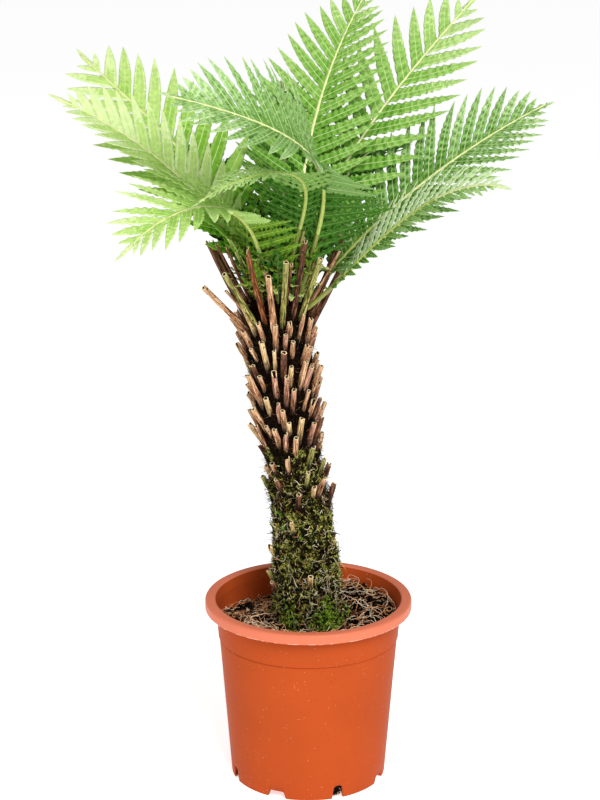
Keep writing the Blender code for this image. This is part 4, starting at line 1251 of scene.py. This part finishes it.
class FERN_OT_cut_stalks(bpy.types.Operator):
    """Build the cut stalk ends up the trunk and the long cut stalks round the crown"""

    bl_idname = "fern.cut_stalks"
    bl_label = "Cut stalks"

    def execute(self, context):
        settings = context.scene.fern_trunk
        materials = stalk_materials()
        stem_piece("cut_stalk_ends", self.short_ones(settings.stub_length, settings.stub_radius), materials)
        stem_piece("long_cut_stalks", self.long_ones(), materials)
        return {"FINISHED"}

    def short_ones(self, length, radius):
        between = 0.5 * (STUB_HEAD - STUB_FOOT) / STUB_COUNT
        forms = []
        for index, azimuth, height, *size in spiral(0, STUB_COUNT, STUB_FOOT, STUB_HEAD, length, radius):
            forms.append((index, azimuth, height, *size))
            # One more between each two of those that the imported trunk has.
            forms.append((
                index + 0.5, azimuth + 68 + 7 * wobble(index, 45), height + between,
                length * (0.90 + 0.30 * wobble(index, 46)), radius * (0.92 + 0.16 * wobble(index, 47)),
            ))
        number = STUB_COUNT
        forms += spiral(number, LOW_STUB_COUNT, LOW_STUB_FOOT, LOW_STUB_HEAD, LOW_STUB_LENGTH, radius)
        forms += [(90 + index, *form) for index, form in enumerate(LOW_ENDS)]
        number += LOW_STUB_COUNT
        forms += spiral(number, MOSSY_STUB_COUNT, MOSSY_STUB_FOOT, STUB_FOOT, MOSSY_STUB_LENGTH, radius)
        stems = []
        for number, form in enumerate(forms):
            draw = wobble(number, 41)
            look = "tan" if draw < -0.1 else "pink" if draw < 0.5 else "straw" if draw < 0.8 else "brown"
            if form[2] < STUB_FOOT and draw > -0.4:
                look = "straw" if form[3] < SHORT_STUB and draw > 0.2 else "olive" if draw < 0.4 else "brown"
            foot, along, length, radius = stub_form(*form)
            split = 0.35 * length if wobble(number, 42) > 0.40 else 0.0
            ragged = 0.0005 + 0.0014 * abs(wobble(number, 43))
            stems.append((foot, along, length, radius, number, SKINS.index(look), ragged, split))
        return stems

    def long_ones(self):
        forms = list(stalk_forms())
        for azimuth, up, out, length, look in THIN_STALKS:
            forms.append((*stalk_line(azimuth, up, out, 2 * STALK_SINK), length, THIN_STALK_RADIUS, look))
        stems = []
        for number, (foot, along, length, radius, look) in enumerate(forms):
            ragged = 0.0030 if look in ("brown", "rust") else 0.0006
            split = 0.16 * length if look == "rust" else 0.0
            stems.append((foot, along, length, radius, number + LONG_SALT, SKINS.index(look), ragged, split))
        return stems


# Fibres and rootlets: the random seed, the points of each, and the shares of their kinds.
FIBRE_SEED = 7
FIBRE_POINTS = 5
FIBRE_KINDS = (0.82, 0.12, 0.06)
ROOTLET_KINDS = (0.46, 0.12, 0.08, 0.06, 0.12, 0.16)
BROWN, GREY = 1, 3
GREY_TOP = 0.220
# Longer grey roots on the lower trunk: azimuth, and heights of the top and the foot.
WIRES = (
    (271, 0.214, 0.166), (298, 0.232, 0.200), (250, 0.240, 0.208), (322, 0.215, 0.184), (70, 0.230, 0.180),
    (140, 0.240, 0.190),
)
WIRE_OUT = (0.001, 0.0045, 0.005, 0.0045, 0.003)
WIRE_RADIUS = 0.00028


def tangled(rng, azimuth, height, length, lift, rise, sunk):
    """Strands that leave the trunk's skin: lift is how far they turn outwards, rise how far upwards, at random."""
    count = len(azimuth)
    start = trunk_skin(azimuth, height, -sunk)
    aside = headings(azimuth + 90) * rng.normal(0, 0.6, count)[:, None]
    aim = unit(headings(azimuth) * lift[:, None] + aside + np.array((0, 0, 1.0)) * rise[:, None])
    share = np.linspace(0, 1, FIBRE_POINTS)[None, :, None]
    paths = start[:, None, :] + aim[:, None, :] * share * length[:, None, None]
    bow = rng.normal(0, 0.16, (count, 3))[:, None, :] * length[:, None, None]
    return paths + bow * np.sin(np.pi * share) + np.roll(bow, 1, axis=-1) * share ** 2


class FERN_OT_fibres(bpy.types.Operator):
    """Grow the fine fibres of the upper trunk and the wiry rootlets of the lower trunk"""

    bl_idname = "fern.fibres"
    bl_label = "Fibres"

    def execute(self, context):
        settings = context.scene.fern_trunk
        rng = np.random.default_rng(FIBRE_SEED)
        count = settings.fibres
        height = rng.uniform(0.290, 0.503, count)
        lift, rise = rng.uniform(0.05, 0.7, count), rng.uniform(-0.3, 1.1, count)
        length = rng.uniform(0.004, 0.012, count)
        paths = tangled(rng, rng.uniform(0, 360, count), height, length, lift, rise, 0.0012)
        radii = rng.uniform(0.00012, 0.00024, (count, 1)) * np.linspace(1, 0.4, FIBRE_POINTS)
        kinds = rng.choice(3, count, p=FIBRE_KINDS)
        materials = [
            plain_fibre("fibre_black", "#030201", "#100A07"), plain_fibre("fibre_brown", "#2A180D", "#5A381F"),
            plain_fibre("fibre_tan", "#8A6040", "#C49A6C"),
        ]
        strand_piece("trunk_fibres", paths, radii, 3, kinds, materials, "trunk", "trunk")
        self.rootlets(settings, rng, materials)
        return {"FINISHED"}

    def rootlets(self, settings, rng, dark):
        count = settings.rootlets
        height = 0.163 + 0.177 * rng.random(count) ** 1.25
        # Most lie along the trunk, and one in eight stands out from it.
        lift = np.where(rng.random(count) < 0.12, rng.uniform(0.4, 1.0, count), rng.uniform(0.0, 0.28, count))
        rise = rng.normal(0.1, 0.8, count)
        length = rng.uniform(0.004, 0.011, count)
        paths = tangled(rng, rng.uniform(0, 360, count), height, length, lift, rise, 0.0030)
        radii = (0.00020 + 0.00046 * rng.random((count, 1)) ** 2) * np.linspace(1, 0.55, FIBRE_POINTS)
        materials = dark + [
            plain_fibre("rootlet_grey", "#7E7662", "#D6CCB2"), plain_fibre("rootlet_olive", "#80822A", "#ECEA7C"),
            plain_fibre("rootlet_cream", "#D2C08C", "#FFFAE0"),
        ]
        kinds = rng.choice(6, count, p=ROOTLET_KINDS)
        # The grey ones are roots that reach for the soil, so higher up they are brown.
        kinds = np.where((kinds == GREY) & (height > GREY_TOP), BROWN, kinds)
        wires = self.wires(rng)
        paths = np.concatenate([paths, wires])
        radii = np.concatenate([radii, np.full((len(wires), FIBRE_POINTS), WIRE_RADIUS)])
        kinds = np.concatenate([kinds, np.full(len(wires), GREY)])
        strand_piece("trunk_rootlets", paths, radii, 3, kinds, materials, "trunk", "trunk")

    def wires(self, rng):
        """Longer grey roots that hang down the lower trunk to the soil."""
        return np.array([
            trunk_skin(
                azimuth + rng.normal(0, 5.5, FIBRE_POINTS), np.linspace(top, foot, FIBRE_POINTS), np.array(WIRE_OUT)
            )
            for azimuth, top, foot in WIRES
        ])


# Moss: compass heading, height, size, and kind, 0 for the dull olive and 1 for the fresh green.
MOSS = (
    (300, 0.178, 0.016, 1), (318, 0.174, 0.013, 1), (286, 0.172, 0.011, 1), (306, 0.188, 0.010, 1),
    (232, 0.182, 0.010, 1), (243, 0.172, 0.008, 1), (60, 0.178, 0.014, 1), (120, 0.174, 0.012, 1),
    (172, 0.180, 0.010, 1), (10, 0.176, 0.010, 1), (222, 0.283, 0.003, 2), (227, 0.274, 0.003, 2),
    (236, 0.243, 0.003, 2), (266, 0.262, 0.003, 2),
)
MOSS_CLUMPS = 220
MOSS_SEED = 5
MOSS_BARE = 0.06
MOSS_BLADES = 24
FRESH_MOSS = 1


class FERN_OT_moss(bpy.types.Operator):
    """Grow cushions of moss on the lower trunk and at its foot"""

    bl_idname = "fern.moss"
    bl_label = "Moss"

    def execute(self, context):
        tufts = context.scene.fern_trunk.tufts
        rng = np.random.default_rng(MOSS_SEED)
        clumps = [list(clump) for clump in MOSS]
        for index in range(MOSS_CLUMPS):
            azimuth = GOLDEN_ANGLE * index
            height, size = MOSS_TOP - 0.145 * rng.random() ** 1.4, rng.uniform(0.003, 0.008)
            # Bare patches, where the trunk's dark fibres and rootlets show.
            if noise.noise(polar(azimuth, 1.4, 42 * height)) > MOSS_BARE:
                clumps.append([azimuth, height, size, 0])
        clumps = np.array(clumps)
        weight = clumps[:, 2] ** 1.7 * np.where(clumps[:, 3] == FRESH_MOSS, 1.5, 1.0)
        chosen = rng.choice(len(clumps), tufts, p=weight / weight.sum())
        azimuth, height, size, kind = clumps[chosen].T
        _, radius = trunk_form(height)
        height = np.maximum(height + size * rng.normal(0, 0.5, tufts), SOIL_LEVEL - 0.001)
        azimuth = azimuth + np.degrees(size / radius) * rng.normal(0, 0.55, tufts)
        roots = trunk_skin(azimuth, height, rng.uniform(-0.0028, 0.0004, tufts))
        aim = unit(headings(azimuth, 0.55)[:, None, :] + rng.normal(0, 0.75, (tufts, MOSS_BLADES, 3)))
        length = rng.uniform(0.0012, 0.0030, (tufts, MOSS_BLADES, 1))
        starts = roots[:, None, :] + rng.normal(0, 0.0006, (tufts, MOSS_BLADES, 3))
        tips = starts + aim * length
        kinds = (2 * kind[:, None] + (rng.random((tufts, MOSS_BLADES)) < 0.5)).astype(int)
        radii = rng.uniform(0.00020, 0.00036, tufts * MOSS_BLADES)
        materials = [
            self.living("moss_olive", "#56621A"), self.living("moss_yellow", "#F0EE80"),
            self.living("moss_green", "#4C7410"), self.living("moss_bright", "#B4D648"),
            self.living("liverwort", "#7CC234"), self.living("liverwort_pale", "#A6E05A"),
        ]
        mesh = spike_mesh("moss", starts.reshape(-1, 3), tips.reshape(-1, 3), radii, kinds.reshape(-1), materials)
        new_piece("moss", mesh, "trunk", "trunk")
        return {"FINISHED"}

    def living(self, name, hex_colour):
        """Moss: fine pointed leaves, dull, with noise patches almost black as painted shade for the depths of the
        cushion.
        """
        base = linear(hex_colour)
        return patchy_material(name, 0.7, 0.06, 260.0, ((0.41, shaded(base, 0.02)), (0.54, base)), 2.0)[0]


# Leaflets
LEAFLET_COLUMNS = (-1.0, -0.60, -0.06, 0.06, 0.60, 1.0)
LEAFLET_OUTLINE = (
    (0.00, 1.18), (0.05, 1.06), (0.14, 1.00), (0.34, 0.97), (0.50, 0.88),
    (0.64, 0.73), (0.78, 0.51), (0.90, 0.26), (0.97, 0.09), (1.00, 0.01),
)
LEAFLET_STEP = 0.0011
LEAFLET_SLENDER = 0.36
LEAFLET_SWEEP = 0.07
LEAFLET_DROOP = 0.06
LEAFLET_KEEL = 0.16
TINTS = 5
# How much painted shade darkens the dimples between a leaflet's waves, and painted light lightens their crests, on
# each kind of green, and from margin to margin over the faces of a leaflet.
DIMPLES = {"young": 0.15, "mid": 0.65, "silver": 1.00, "pale": 0.80, "deep": 0.60, "leafy": 0.70, "olive": 0.60}
DIMPLE_ACROSS = (0.10, 1.0, 0.0, 1.0, 0.10)
# Painted light on the outer faces of a leaflet and painted shade on the faces beside its midrib, so that it looks
# rounded.
MARGIN_LIGHT = (0.35, -0.25, 0.0, -0.25, 0.35)
BASE_REACH = 0.45
NO_FOOT = dict(until=0.0)


def leaflet_sheet(shape, settings):
    """The grid of points of one leaflet, with its outline, keel, droop and waves, and how each point is raised.

    The waves grow towards the margin. How a point is raised, from -1 to 1, also shades it.
    """
    length, wave, salt = shape["length"], shape["wave"], shape["salt"]
    count = max(8, round(length / LEAFLET_STEP)) + 1
    share = np.linspace(0.0, 1.0, count)[:, None]
    column = np.array(LEAFLET_COLUMNS)[None, :]
    half = shape["half"] * np.interp(share, *np.array(LEAFLET_OUTLINE).T)
    calm = smoothstep(0.0, 0.10, share) * (1 - smoothstep(0.70, 1.0, share))
    stretch = settings.wave_length * (1 + 0.18 * wobble(salt, 9))
    phase = 2 * np.pi * share * length / stretch + 3 * wobble(salt, 10) + (1.6 + wobble(salt, 11)) * (column > 0)
    drift = 0.8 * np.sin(0.31 * phase + 4 * wobble(salt, 12))
    ripple = np.sin(phase + drift) + 0.25 * np.sin(2.3 * phase + 5 * wobble(salt, 13))
    lean = 0.14 * wobble(salt, 5)
    wide = half * (1 + 0.07 * wave * calm * np.sin(phase + drift + 1.4)) * column
    edge = np.abs(column)
    lift = settings.wave_height * wave * calm * ripple * edge ** 1.4
    lift += LEAFLET_KEEL * half * (edge - 0.85 * edge ** 2) * 2
    lift += lean * wide * share
    fall = LEAFLET_DROOP * (1 + 0.8 * wobble(salt, 6)) * length * share ** 2
    sweep = LEAFLET_SWEEP * (1 + 0.5 * wobble(salt, 7)) * length * share ** 2
    line, across, thick = (np.array(shape[key]) for key in ("line", "across", "thick"))
    # The base is slanted, so that it lies along the rib and touches the next leaflet's.
    slant = shape["slant"] * half * column * (1 - smoothstep(0.0, BASE_REACH, share))
    points = np.array(shape["root"]) + line * (share * length + slant)[..., None]
    points = points + across * (wide + sweep)[..., None] + thick * (lift - fall)[..., None]
    return points, share[:, 0], wave * calm * np.sin(phase + drift)


def rib_radius(share, settings, thin=1.0):
    tip = settings.rib_tip_radius
    return thin * (tip + (settings.rib_radius - tip) * (1 - share) ** RIB_TAPER)


def frond_leaflet(form, path, rank, spacing, side, salt, settings):
    """Where one leaflet of a frond grows and how it lies, by the rule that the solids follow."""
    station = station_at(path, BARE_STALK + blade_share(form) * rank)
    low, high = form.get("angles", LEAFLET_ANGLES)
    angle = math.radians(low + (high - low) * rank + 1.6 * wobble(salt, 1))
    fold = math.radians(form["fold"] + 1.8 * wobble(salt, 2))
    out = (station["side"] * side * math.cos(fold) + station["up"] * math.sin(fold)).normalized()
    along = station["along"].normalized()
    line = along * math.cos(angle) + out * math.sin(angle)
    across = along * math.sin(angle) - out * math.cos(angle)
    length = leaflet_size(form, rank) * (1 + 0.04 * wobble(salt, 3))
    foot = form.get("foot", NO_FOOT)
    fill = foot["width"] if rank < foot["until"] else form.get("width", 1.0)
    room = fill * settings.leaflet_width * spacing * math.sin(angle)
    half = min(room, LEAFLET_SLENDER * length) / 2
    root = station["point"] + out * rib_radius(station["share"], settings) * 0.6
    return dict(
        root=root, line=line, across=across, thick=across.cross(line) * -side, half=half, length=length,
        slant=1 / math.tan(angle), flip=side < 0, salt=salt,
    )


def end_leaflet(form, path, salt):
    """The narrow leaflet that ends a frond, in line with its rib."""
    station = station_at(path, BARE_STALK + blade_share(form))
    along, side, up = station["along"].normalized(), station["side"], station["up"]
    return dict(
        root=station["point"] - along * 0.002, line=along, across=side, thick=up, half=0.0028,
        length=END_LEAFLET * 1.02, slant=0.0, flip=True, salt=salt,
    )


def sheet_faces(count, first, flip):
    """Faces of one leaflet's grid, whose points start at the given index, turned so that they face up."""
    columns = len(LEAFLET_COLUMNS)
    index = first + np.arange(count * columns).reshape(count, columns)
    faces = np.stack([index[:-1, :-1], index[1:, :-1], index[1:, 1:], index[:-1, 1:]], axis=-1)
    return faces[..., ::-1] if flip else faces


def leaflet_tints(share, raised, light, salt, dimple):
    """Which green each face of a leaflet has: lighter towards its tip, with painted shade in the dimples between its
    waves, and painted light on their crests and on its outer faces.

    The midrib has a colour of its own.
    """
    middle = (share[:-1] + share[1:])[:, None] / 2
    hollow = (raised[:-1, :-1] + raised[1:, 1:]) / 2 * np.array(DIMPLE_ACROSS)
    grain = 0.10 * wobble(np.arange(hollow.size).reshape(hollow.shape) + 31 * salt, 14)
    level = light + 1.3 * (middle - 0.45) + 0.45 * wobble(salt, 8) + dimple * hollow + grain
    level = level + np.array(MARGIN_LIGHT)
    tints = np.clip(np.round(level), 0, TINTS - 1).astype(int)
    tints[:, tints.shape[1] // 2] = TINTS
    return tints


def join_leaflets(name, shapes, nodes, green, settings):
    """Join leaflets to one piece with a thickness and an underside of its own colour."""
    points, faces, tints, first = [], [], [], 0
    for shape in shapes:
        sheet, share, raised = leaflet_sheet(shape, settings)
        points.append(sheet.reshape(-1, 3))
        faces.append(sheet_faces(len(share), first, shape["flip"]).reshape(-1, 4))
        tints.append(leaflet_tints(share, raised, shape["light"], shape["salt"], DIMPLES[green]).reshape(-1))
        first += sheet.shape[0] * sheet.shape[1]
    mesh = mesh_from_arrays(
        name, np.concatenate(points), [(np.concatenate(faces), np.concatenate(tints))], leaf_materials(green)
    )
    piece = new_piece(name, mesh, "fronds", *nodes)
    thick = piece.modifiers.new("Thickness", "SOLIDIFY")
    thick.thickness = settings.leaflet_thickness
    thick.offset = -1.0
    thick.material_offset = TINTS + 1


def leaf_materials(green):
    """The greens of the upper face, its midrib, and then the same number of slots for the underside."""
    tints, under, midrib = GREENS[green]
    upper = [leaf_material(f"leaflet_{green}_{index}", tint) for index, tint in enumerate(tints)]
    rib = leaf_material(f"leaflet_midrib_{green}", midrib)
    lower = leaf_material(f"leaflet_underside_{green}", under)
    return upper + [rib] + [lower] * TINTS + [rib]


def leaf_material(name, hex_colour):
    """Living fern blade: a thin satin skin with a soft waxy sheen, which lets some light through from behind."""
    if name in bpy.data.materials:
        return bpy.data.materials[name]
    base = linear(hex_colour)
    # Mottled green in patches of about 4 mm, where the blade is thinner or thicker.
    stops = (0.35, shaded(base, 0.86)), (0.65, shaded(base, 1.08))
    material, tree, shader, place = patchy_material(name, 0.50, 0.06, 250.0, stops)
    # Fine cross veins, about 1.2 mm apart, too low for the mesh: they break up the sheen.
    relief(tree, shader, place, 800.0, 0.2, 0.0003, 2.0)
    glow = add_node(tree, "ShaderNodeBsdfTranslucent", {"Color": base})
    both = add_node(tree, "ShaderNodeMixShader", {"Fac": 0.28, 1: shader.outputs["BSDF"], 2: glow.outputs["BSDF"]})
    tree.links.new(both.outputs["Shader"], tree.nodes["Material Output"].inputs["Surface"])
    return material


def nodes_of(name):
    return [node for node in NODES if node in (name, f"{name}_tip")]


def leaflet_shapes(form, path, number, spacing, settings):
    """The leaflets of a frond or shoot in pairs, each with its rank, and the one at its end."""
    blade = form["length"] * blade_share(form)
    count = round(blade / spacing)
    shapes = []
    for index in range(count):
        rank = (index + 0.5) / count
        for side in (-1, 1):
            salt = 100 * number + 2 * index + (side > 0)
            shapes.append((rank, frond_leaflet(form, path, rank, blade / count, side, salt, settings)))
    return shapes + [(1.0, end_leaflet(form, path, 100 * number + 99))]


class FERN_OT_leaflets(bpy.types.Operator):
    """Build the leaflets of every frond"""

    bl_idname = "fern.leaflets"
    bl_label = "Leaflets"

    def execute(self, context):
        settings = context.scene.fern_fronds
        for number, (name, form) in enumerate(FRONDS.items()):
            groups = {}
            foot = form.get("foot", NO_FOOT)
            spacing = form.get("spacing", LEAFLET_SPACING)
            for rank, shape in leaflet_shapes(form, PATHS[name], number, spacing, settings):
                for look in ("light", "wave"):
                    low, high = form[look]
                    shape[look] = low + (high - low) * rank
                shape["light"] += form.get("rows", (0.0, 0.0))[int(shape["flip"])]
                green = form["green"]
                if rank < foot["until"]:
                    green = foot["green"]
                    shape["light"] += foot["light"]
                    shape["wave"] += foot["wave"]
                groups.setdefault(green, []).append(shape)
            for green, shapes in groups.items():
                piece = f"leaflets_{name[6:]}" + ("" if green == form["green"] else "_foot")
                join_leaflets(piece, shapes, nodes_of(name), green, settings)
        return {"FINISHED"}


def shoot_forms():
    """The shoots, spread evenly round the crown and uneven in length, lean and green."""
    for index in range(SHOOT_COUNT):
        share = (index + 0.5) / SHOOT_COUNT
        at = GOLDEN_ANGLE * index
        yield dict(
            head=(at, at + 35 * wobble(index, 51)), at=at, ring=SHOOT_RING * math.sqrt(share),
            rise=(86 - 4 * share, 78 - 14 * share, 66 - 34 * share + 12 * wobble(index, 52)),
            length=(0.100 - 0.030 * share) * (1 + 0.15 * wobble(index, 53)),
            leaf=0.023 + 0.005 * wobble(index, 54), green="leafy" if index % 2 else "deep", width=0.55,
            light=0.5 + 1.5 * share + 1.4 * wobble(index, 55), roll=75 * wobble(index, 56), angles=(68, 30),
            fold=22 + 22 * wobble(index, 57),
        )


def low_leaflets(form, path, number):
    """Short broad leaflets low on a shoot, which reach sideways between the cut stalks."""
    for step in range(LOW_LEAFLETS):
        salt = 9000 + 10 * number + step
        turn = math.radians(form["at"] + (70 if step % 2 else -70) + 45 * wobble(salt, 61))
        line = Vector((math.cos(turn), math.sin(turn), 0.25 + 0.40 * wobble(salt, 62))).normalized()
        across = line.cross(Vector((0, 0, 1))).normalized()
        # Their high light level is painted light: it picks the lightest olives for leaflets that lie in the crown's
        # shade.
        yield dict(
            root=station_at(path, 0.24 + 0.15 * step + 0.06 * wobble(salt, 63))["point"], line=line, across=across,
            thick=across.cross(line), half=0.0038 + 0.0005 * wobble(salt, 64), slant=0.0, flip=True, salt=salt,
            length=0.022 + 0.004 * wobble(salt, 65), light=3.1 + 1.0 * wobble(salt, 66), wave=0.9,
        )


class FERN_OT_shoots(bpy.types.Operator):
    """Build the short young shoots in the middle of the crown"""

    bl_idname = "fern.shoots"
    bl_label = "Shoots"

    def execute(self, context):
        settings = context.scene.fern_fronds
        groups, ribs = {}, []
        for number, form in enumerate(shoot_forms()):
            path = frond_path(form)
            for rank, shape in leaflet_shapes(form, path, number + 40, SHOOT_SPACING, settings):
                if rank > SHOOT_BARE:
                    shape["light"], shape["wave"] = form["light"] + 0.6 * rank, 1.5
                    groups.setdefault(form["green"], []).append(shape)
            groups.setdefault("olive", []).extend(low_leaflets(form, path, number))
            ribs.append(rib_line(path, form, settings, SHOOT_RIB))
        for green, shapes in groups.items():
            join_leaflets(f"shoot_leaflets_{green}", shapes, ["trunk"], green, settings)
        paths, radii = (np.array(part) for part in zip(*ribs))
        finish = rib_material("shoot_rib", "#66722C")
        strand_piece("shoot_ribs", paths, radii, 8, np.zeros(len(ribs), int), [finish], "fronds", "trunk")
        return {"FINISHED"}


# Ribs: the shares of their length where the olive of the foot and the green after it end.
RIB_TONES = (0.16, 0.34)
RIB_POINTS = 72
RIB_SIDES = 10


def rib_line(path, form, settings, thin=1.0):
    """The points and radii of a rib from its foot to within its end leaflet."""
    shares = np.linspace(0.0, 1 - 0.4 * END_LEAFLET / form["length"], RIB_POINTS)
    return np.array([station_at(path, share)["point"] for share in shares]), rib_radius(shares, settings, thin)


class FERN_OT_ribs(bpy.types.Operator):
    """Build the rib of every frond, from its foot in the crown to its tip"""

    bl_idname = "fern.ribs"
    bl_label = "Ribs"

    def execute(self, context):
        settings = context.scene.fern_fronds
        materials = [
            rib_material("frond_stalk_olive", "#8C9440"),
            rib_material("frond_rib_green", "#B9C766"),
            rib_material("frond_rib_cream", "#E2E5A4"),
        ]
        for name, form in FRONDS.items():
            line, radii = rib_line(PATHS[name], form, settings)
            verts, walls, caps = strands(line[None], radii[None], RIB_SIDES)
            rows = np.repeat(np.linspace(0, 1, len(line) - 1), RIB_SIDES)
            olive, green = form.get("rib_tones", RIB_TONES)
            slots = np.where(rows < olive, 0, np.where(rows < green, 1, 2))
            mesh = mesh_from_arrays(f"rib_{name[6:]}", verts, [(walls, slots), (caps, [0, 2])], materials)
            new_piece(f"rib_{name[6:]}", mesh, "fronds", *nodes_of(name))
        return {"FINISHED"}


def rib_material(name, hex_colour):
    """Fern rib: smooth waxy skin over tough fibres, paler than the leaflets, with faint lengthwise streaks."""
    base = linear(hex_colour)
    return patchy_material(name, 0.42, 0.5, 260.0, ((0.35, shaded(base, 0.78)), (0.65, base)))[0]


# Studio: how far the floor reaches, the point that the lamps face, and the place and size of each lamp.
FLOOR_REACH = 14.0
LAMP_AIM = Vector((0.0, 0.0, 0.45))
KEY_LAMP = (0.7, -1.9, 1.9), 1.3
FILL_LAMP = (-1.7, -0.9, 1.3), 1.2
WHITE = (1.0, 1.0, 1.0, 1.0)


class FERN_OT_studio(bpy.types.Operator):
    """Set up the pale floor, the soft lights and the camera"""

    bl_idname = "fern.studio"
    bl_label = "Studio"

    def execute(self, context):
        settings = context.scene.fern_studio
        scene = context.scene
        scene.view_settings.view_transform = "Standard"
        bm = bmesh.new()
        bmesh.ops.create_grid(bm, x_segments=1, y_segments=1, size=FLOOR_REACH)
        material, _, shader, _ = new_material("floor_pale_paint", 0.8, 0.5)
        shader.inputs["Base Color"].default_value = settings.floor_colour
        shader.inputs["Emission Color"].default_value = WHITE
        shader.inputs["Emission Strength"].default_value = settings.floor_glow
        floor = bpy.data.objects.new("floor", as_mesh("floor", bm, [material]))
        scene.collection.objects.link(floor)
        world = bpy.data.worlds.new("pale_surroundings")
        world.use_nodes = True
        background = world.node_tree.nodes["Background"]
        background.inputs["Color"].default_value = WHITE
        background.inputs["Strength"].default_value = settings.ambient
        scene.world = world
        add_light("key_light", *KEY_LAMP, settings.key_power)
        add_light("fill_light", *FILL_LAMP, settings.fill_power)
        camera = bpy.data.objects.new("camera", bpy.data.cameras.new("camera"))
        camera.data.lens = CAMERA_LENS
        camera.location = CAMERA_PLACE
        camera.rotation_euler = (math.pi / 2 - CAMERA_PITCH, 0.0, 0.0)
        scene.collection.objects.link(camera)
        scene.camera = camera
        return {"FINISHED"}


def add_light(name, place, size, power):
    light = bpy.data.lights.new(name, "AREA")
    light.shape = "DISK"
    light.size = size
    light.energy = power
    lamp = bpy.data.objects.new(name, light)
    lamp.location = place
    aim = LAMP_AIM - Vector(place)
    lamp.rotation_euler = aim.to_track_quat("-Z", "Y").to_euler()
    bpy.context.scene.collection.objects.link(lamp)


class FERN_PT_panel(bpy.types.Panel):
    bl_label = "Potted tree fern"
    bl_idname = "FERN_PT_panel"
    bl_space_type = "VIEW_3D"
    bl_region_type = "UI"
    bl_category = "Fern"

    def draw(self, context):
        for build in OPERATORS:
            self.layout.operator(build.bl_idname)


OPERATORS = (
    FERN_OT_pot, FERN_OT_soil, FERN_OT_soil_litter, FERN_OT_trunk, FERN_OT_cut_stalks, FERN_OT_fibres, FERN_OT_moss,
    FERN_OT_ribs, FERN_OT_leaflets, FERN_OT_shoots, FERN_OT_studio,
)
SETTINGS = {
    "fern_pot": FernPotSettings,
    "fern_soil": FernSoilSettings,
    "fern_trunk": FernTrunkSettings,
    "fern_fronds": FernFrondSettings,
    "fern_studio": FernStudioSettings,
}


def register():
    for made in (*SETTINGS.values(), *OPERATORS, FERN_PT_panel):
        bpy.utils.register_class(made)
    for name, kind in SETTINGS.items():
        setattr(bpy.types.Scene, name, PointerProperty(type=kind))


def unregister():
    for name in SETTINGS:
        delattr(bpy.types.Scene, name)
    for made in (FERN_PT_panel, *reversed(OPERATORS), *SETTINGS.values()):
        bpy.utils.unregister_class(made)


def main():
    register()
    for build in OPERATORS:
        group, call = build.bl_idname.split(".")
        getattr(getattr(bpy.ops, group), call)()


if __name__ == "__main__":
    main()
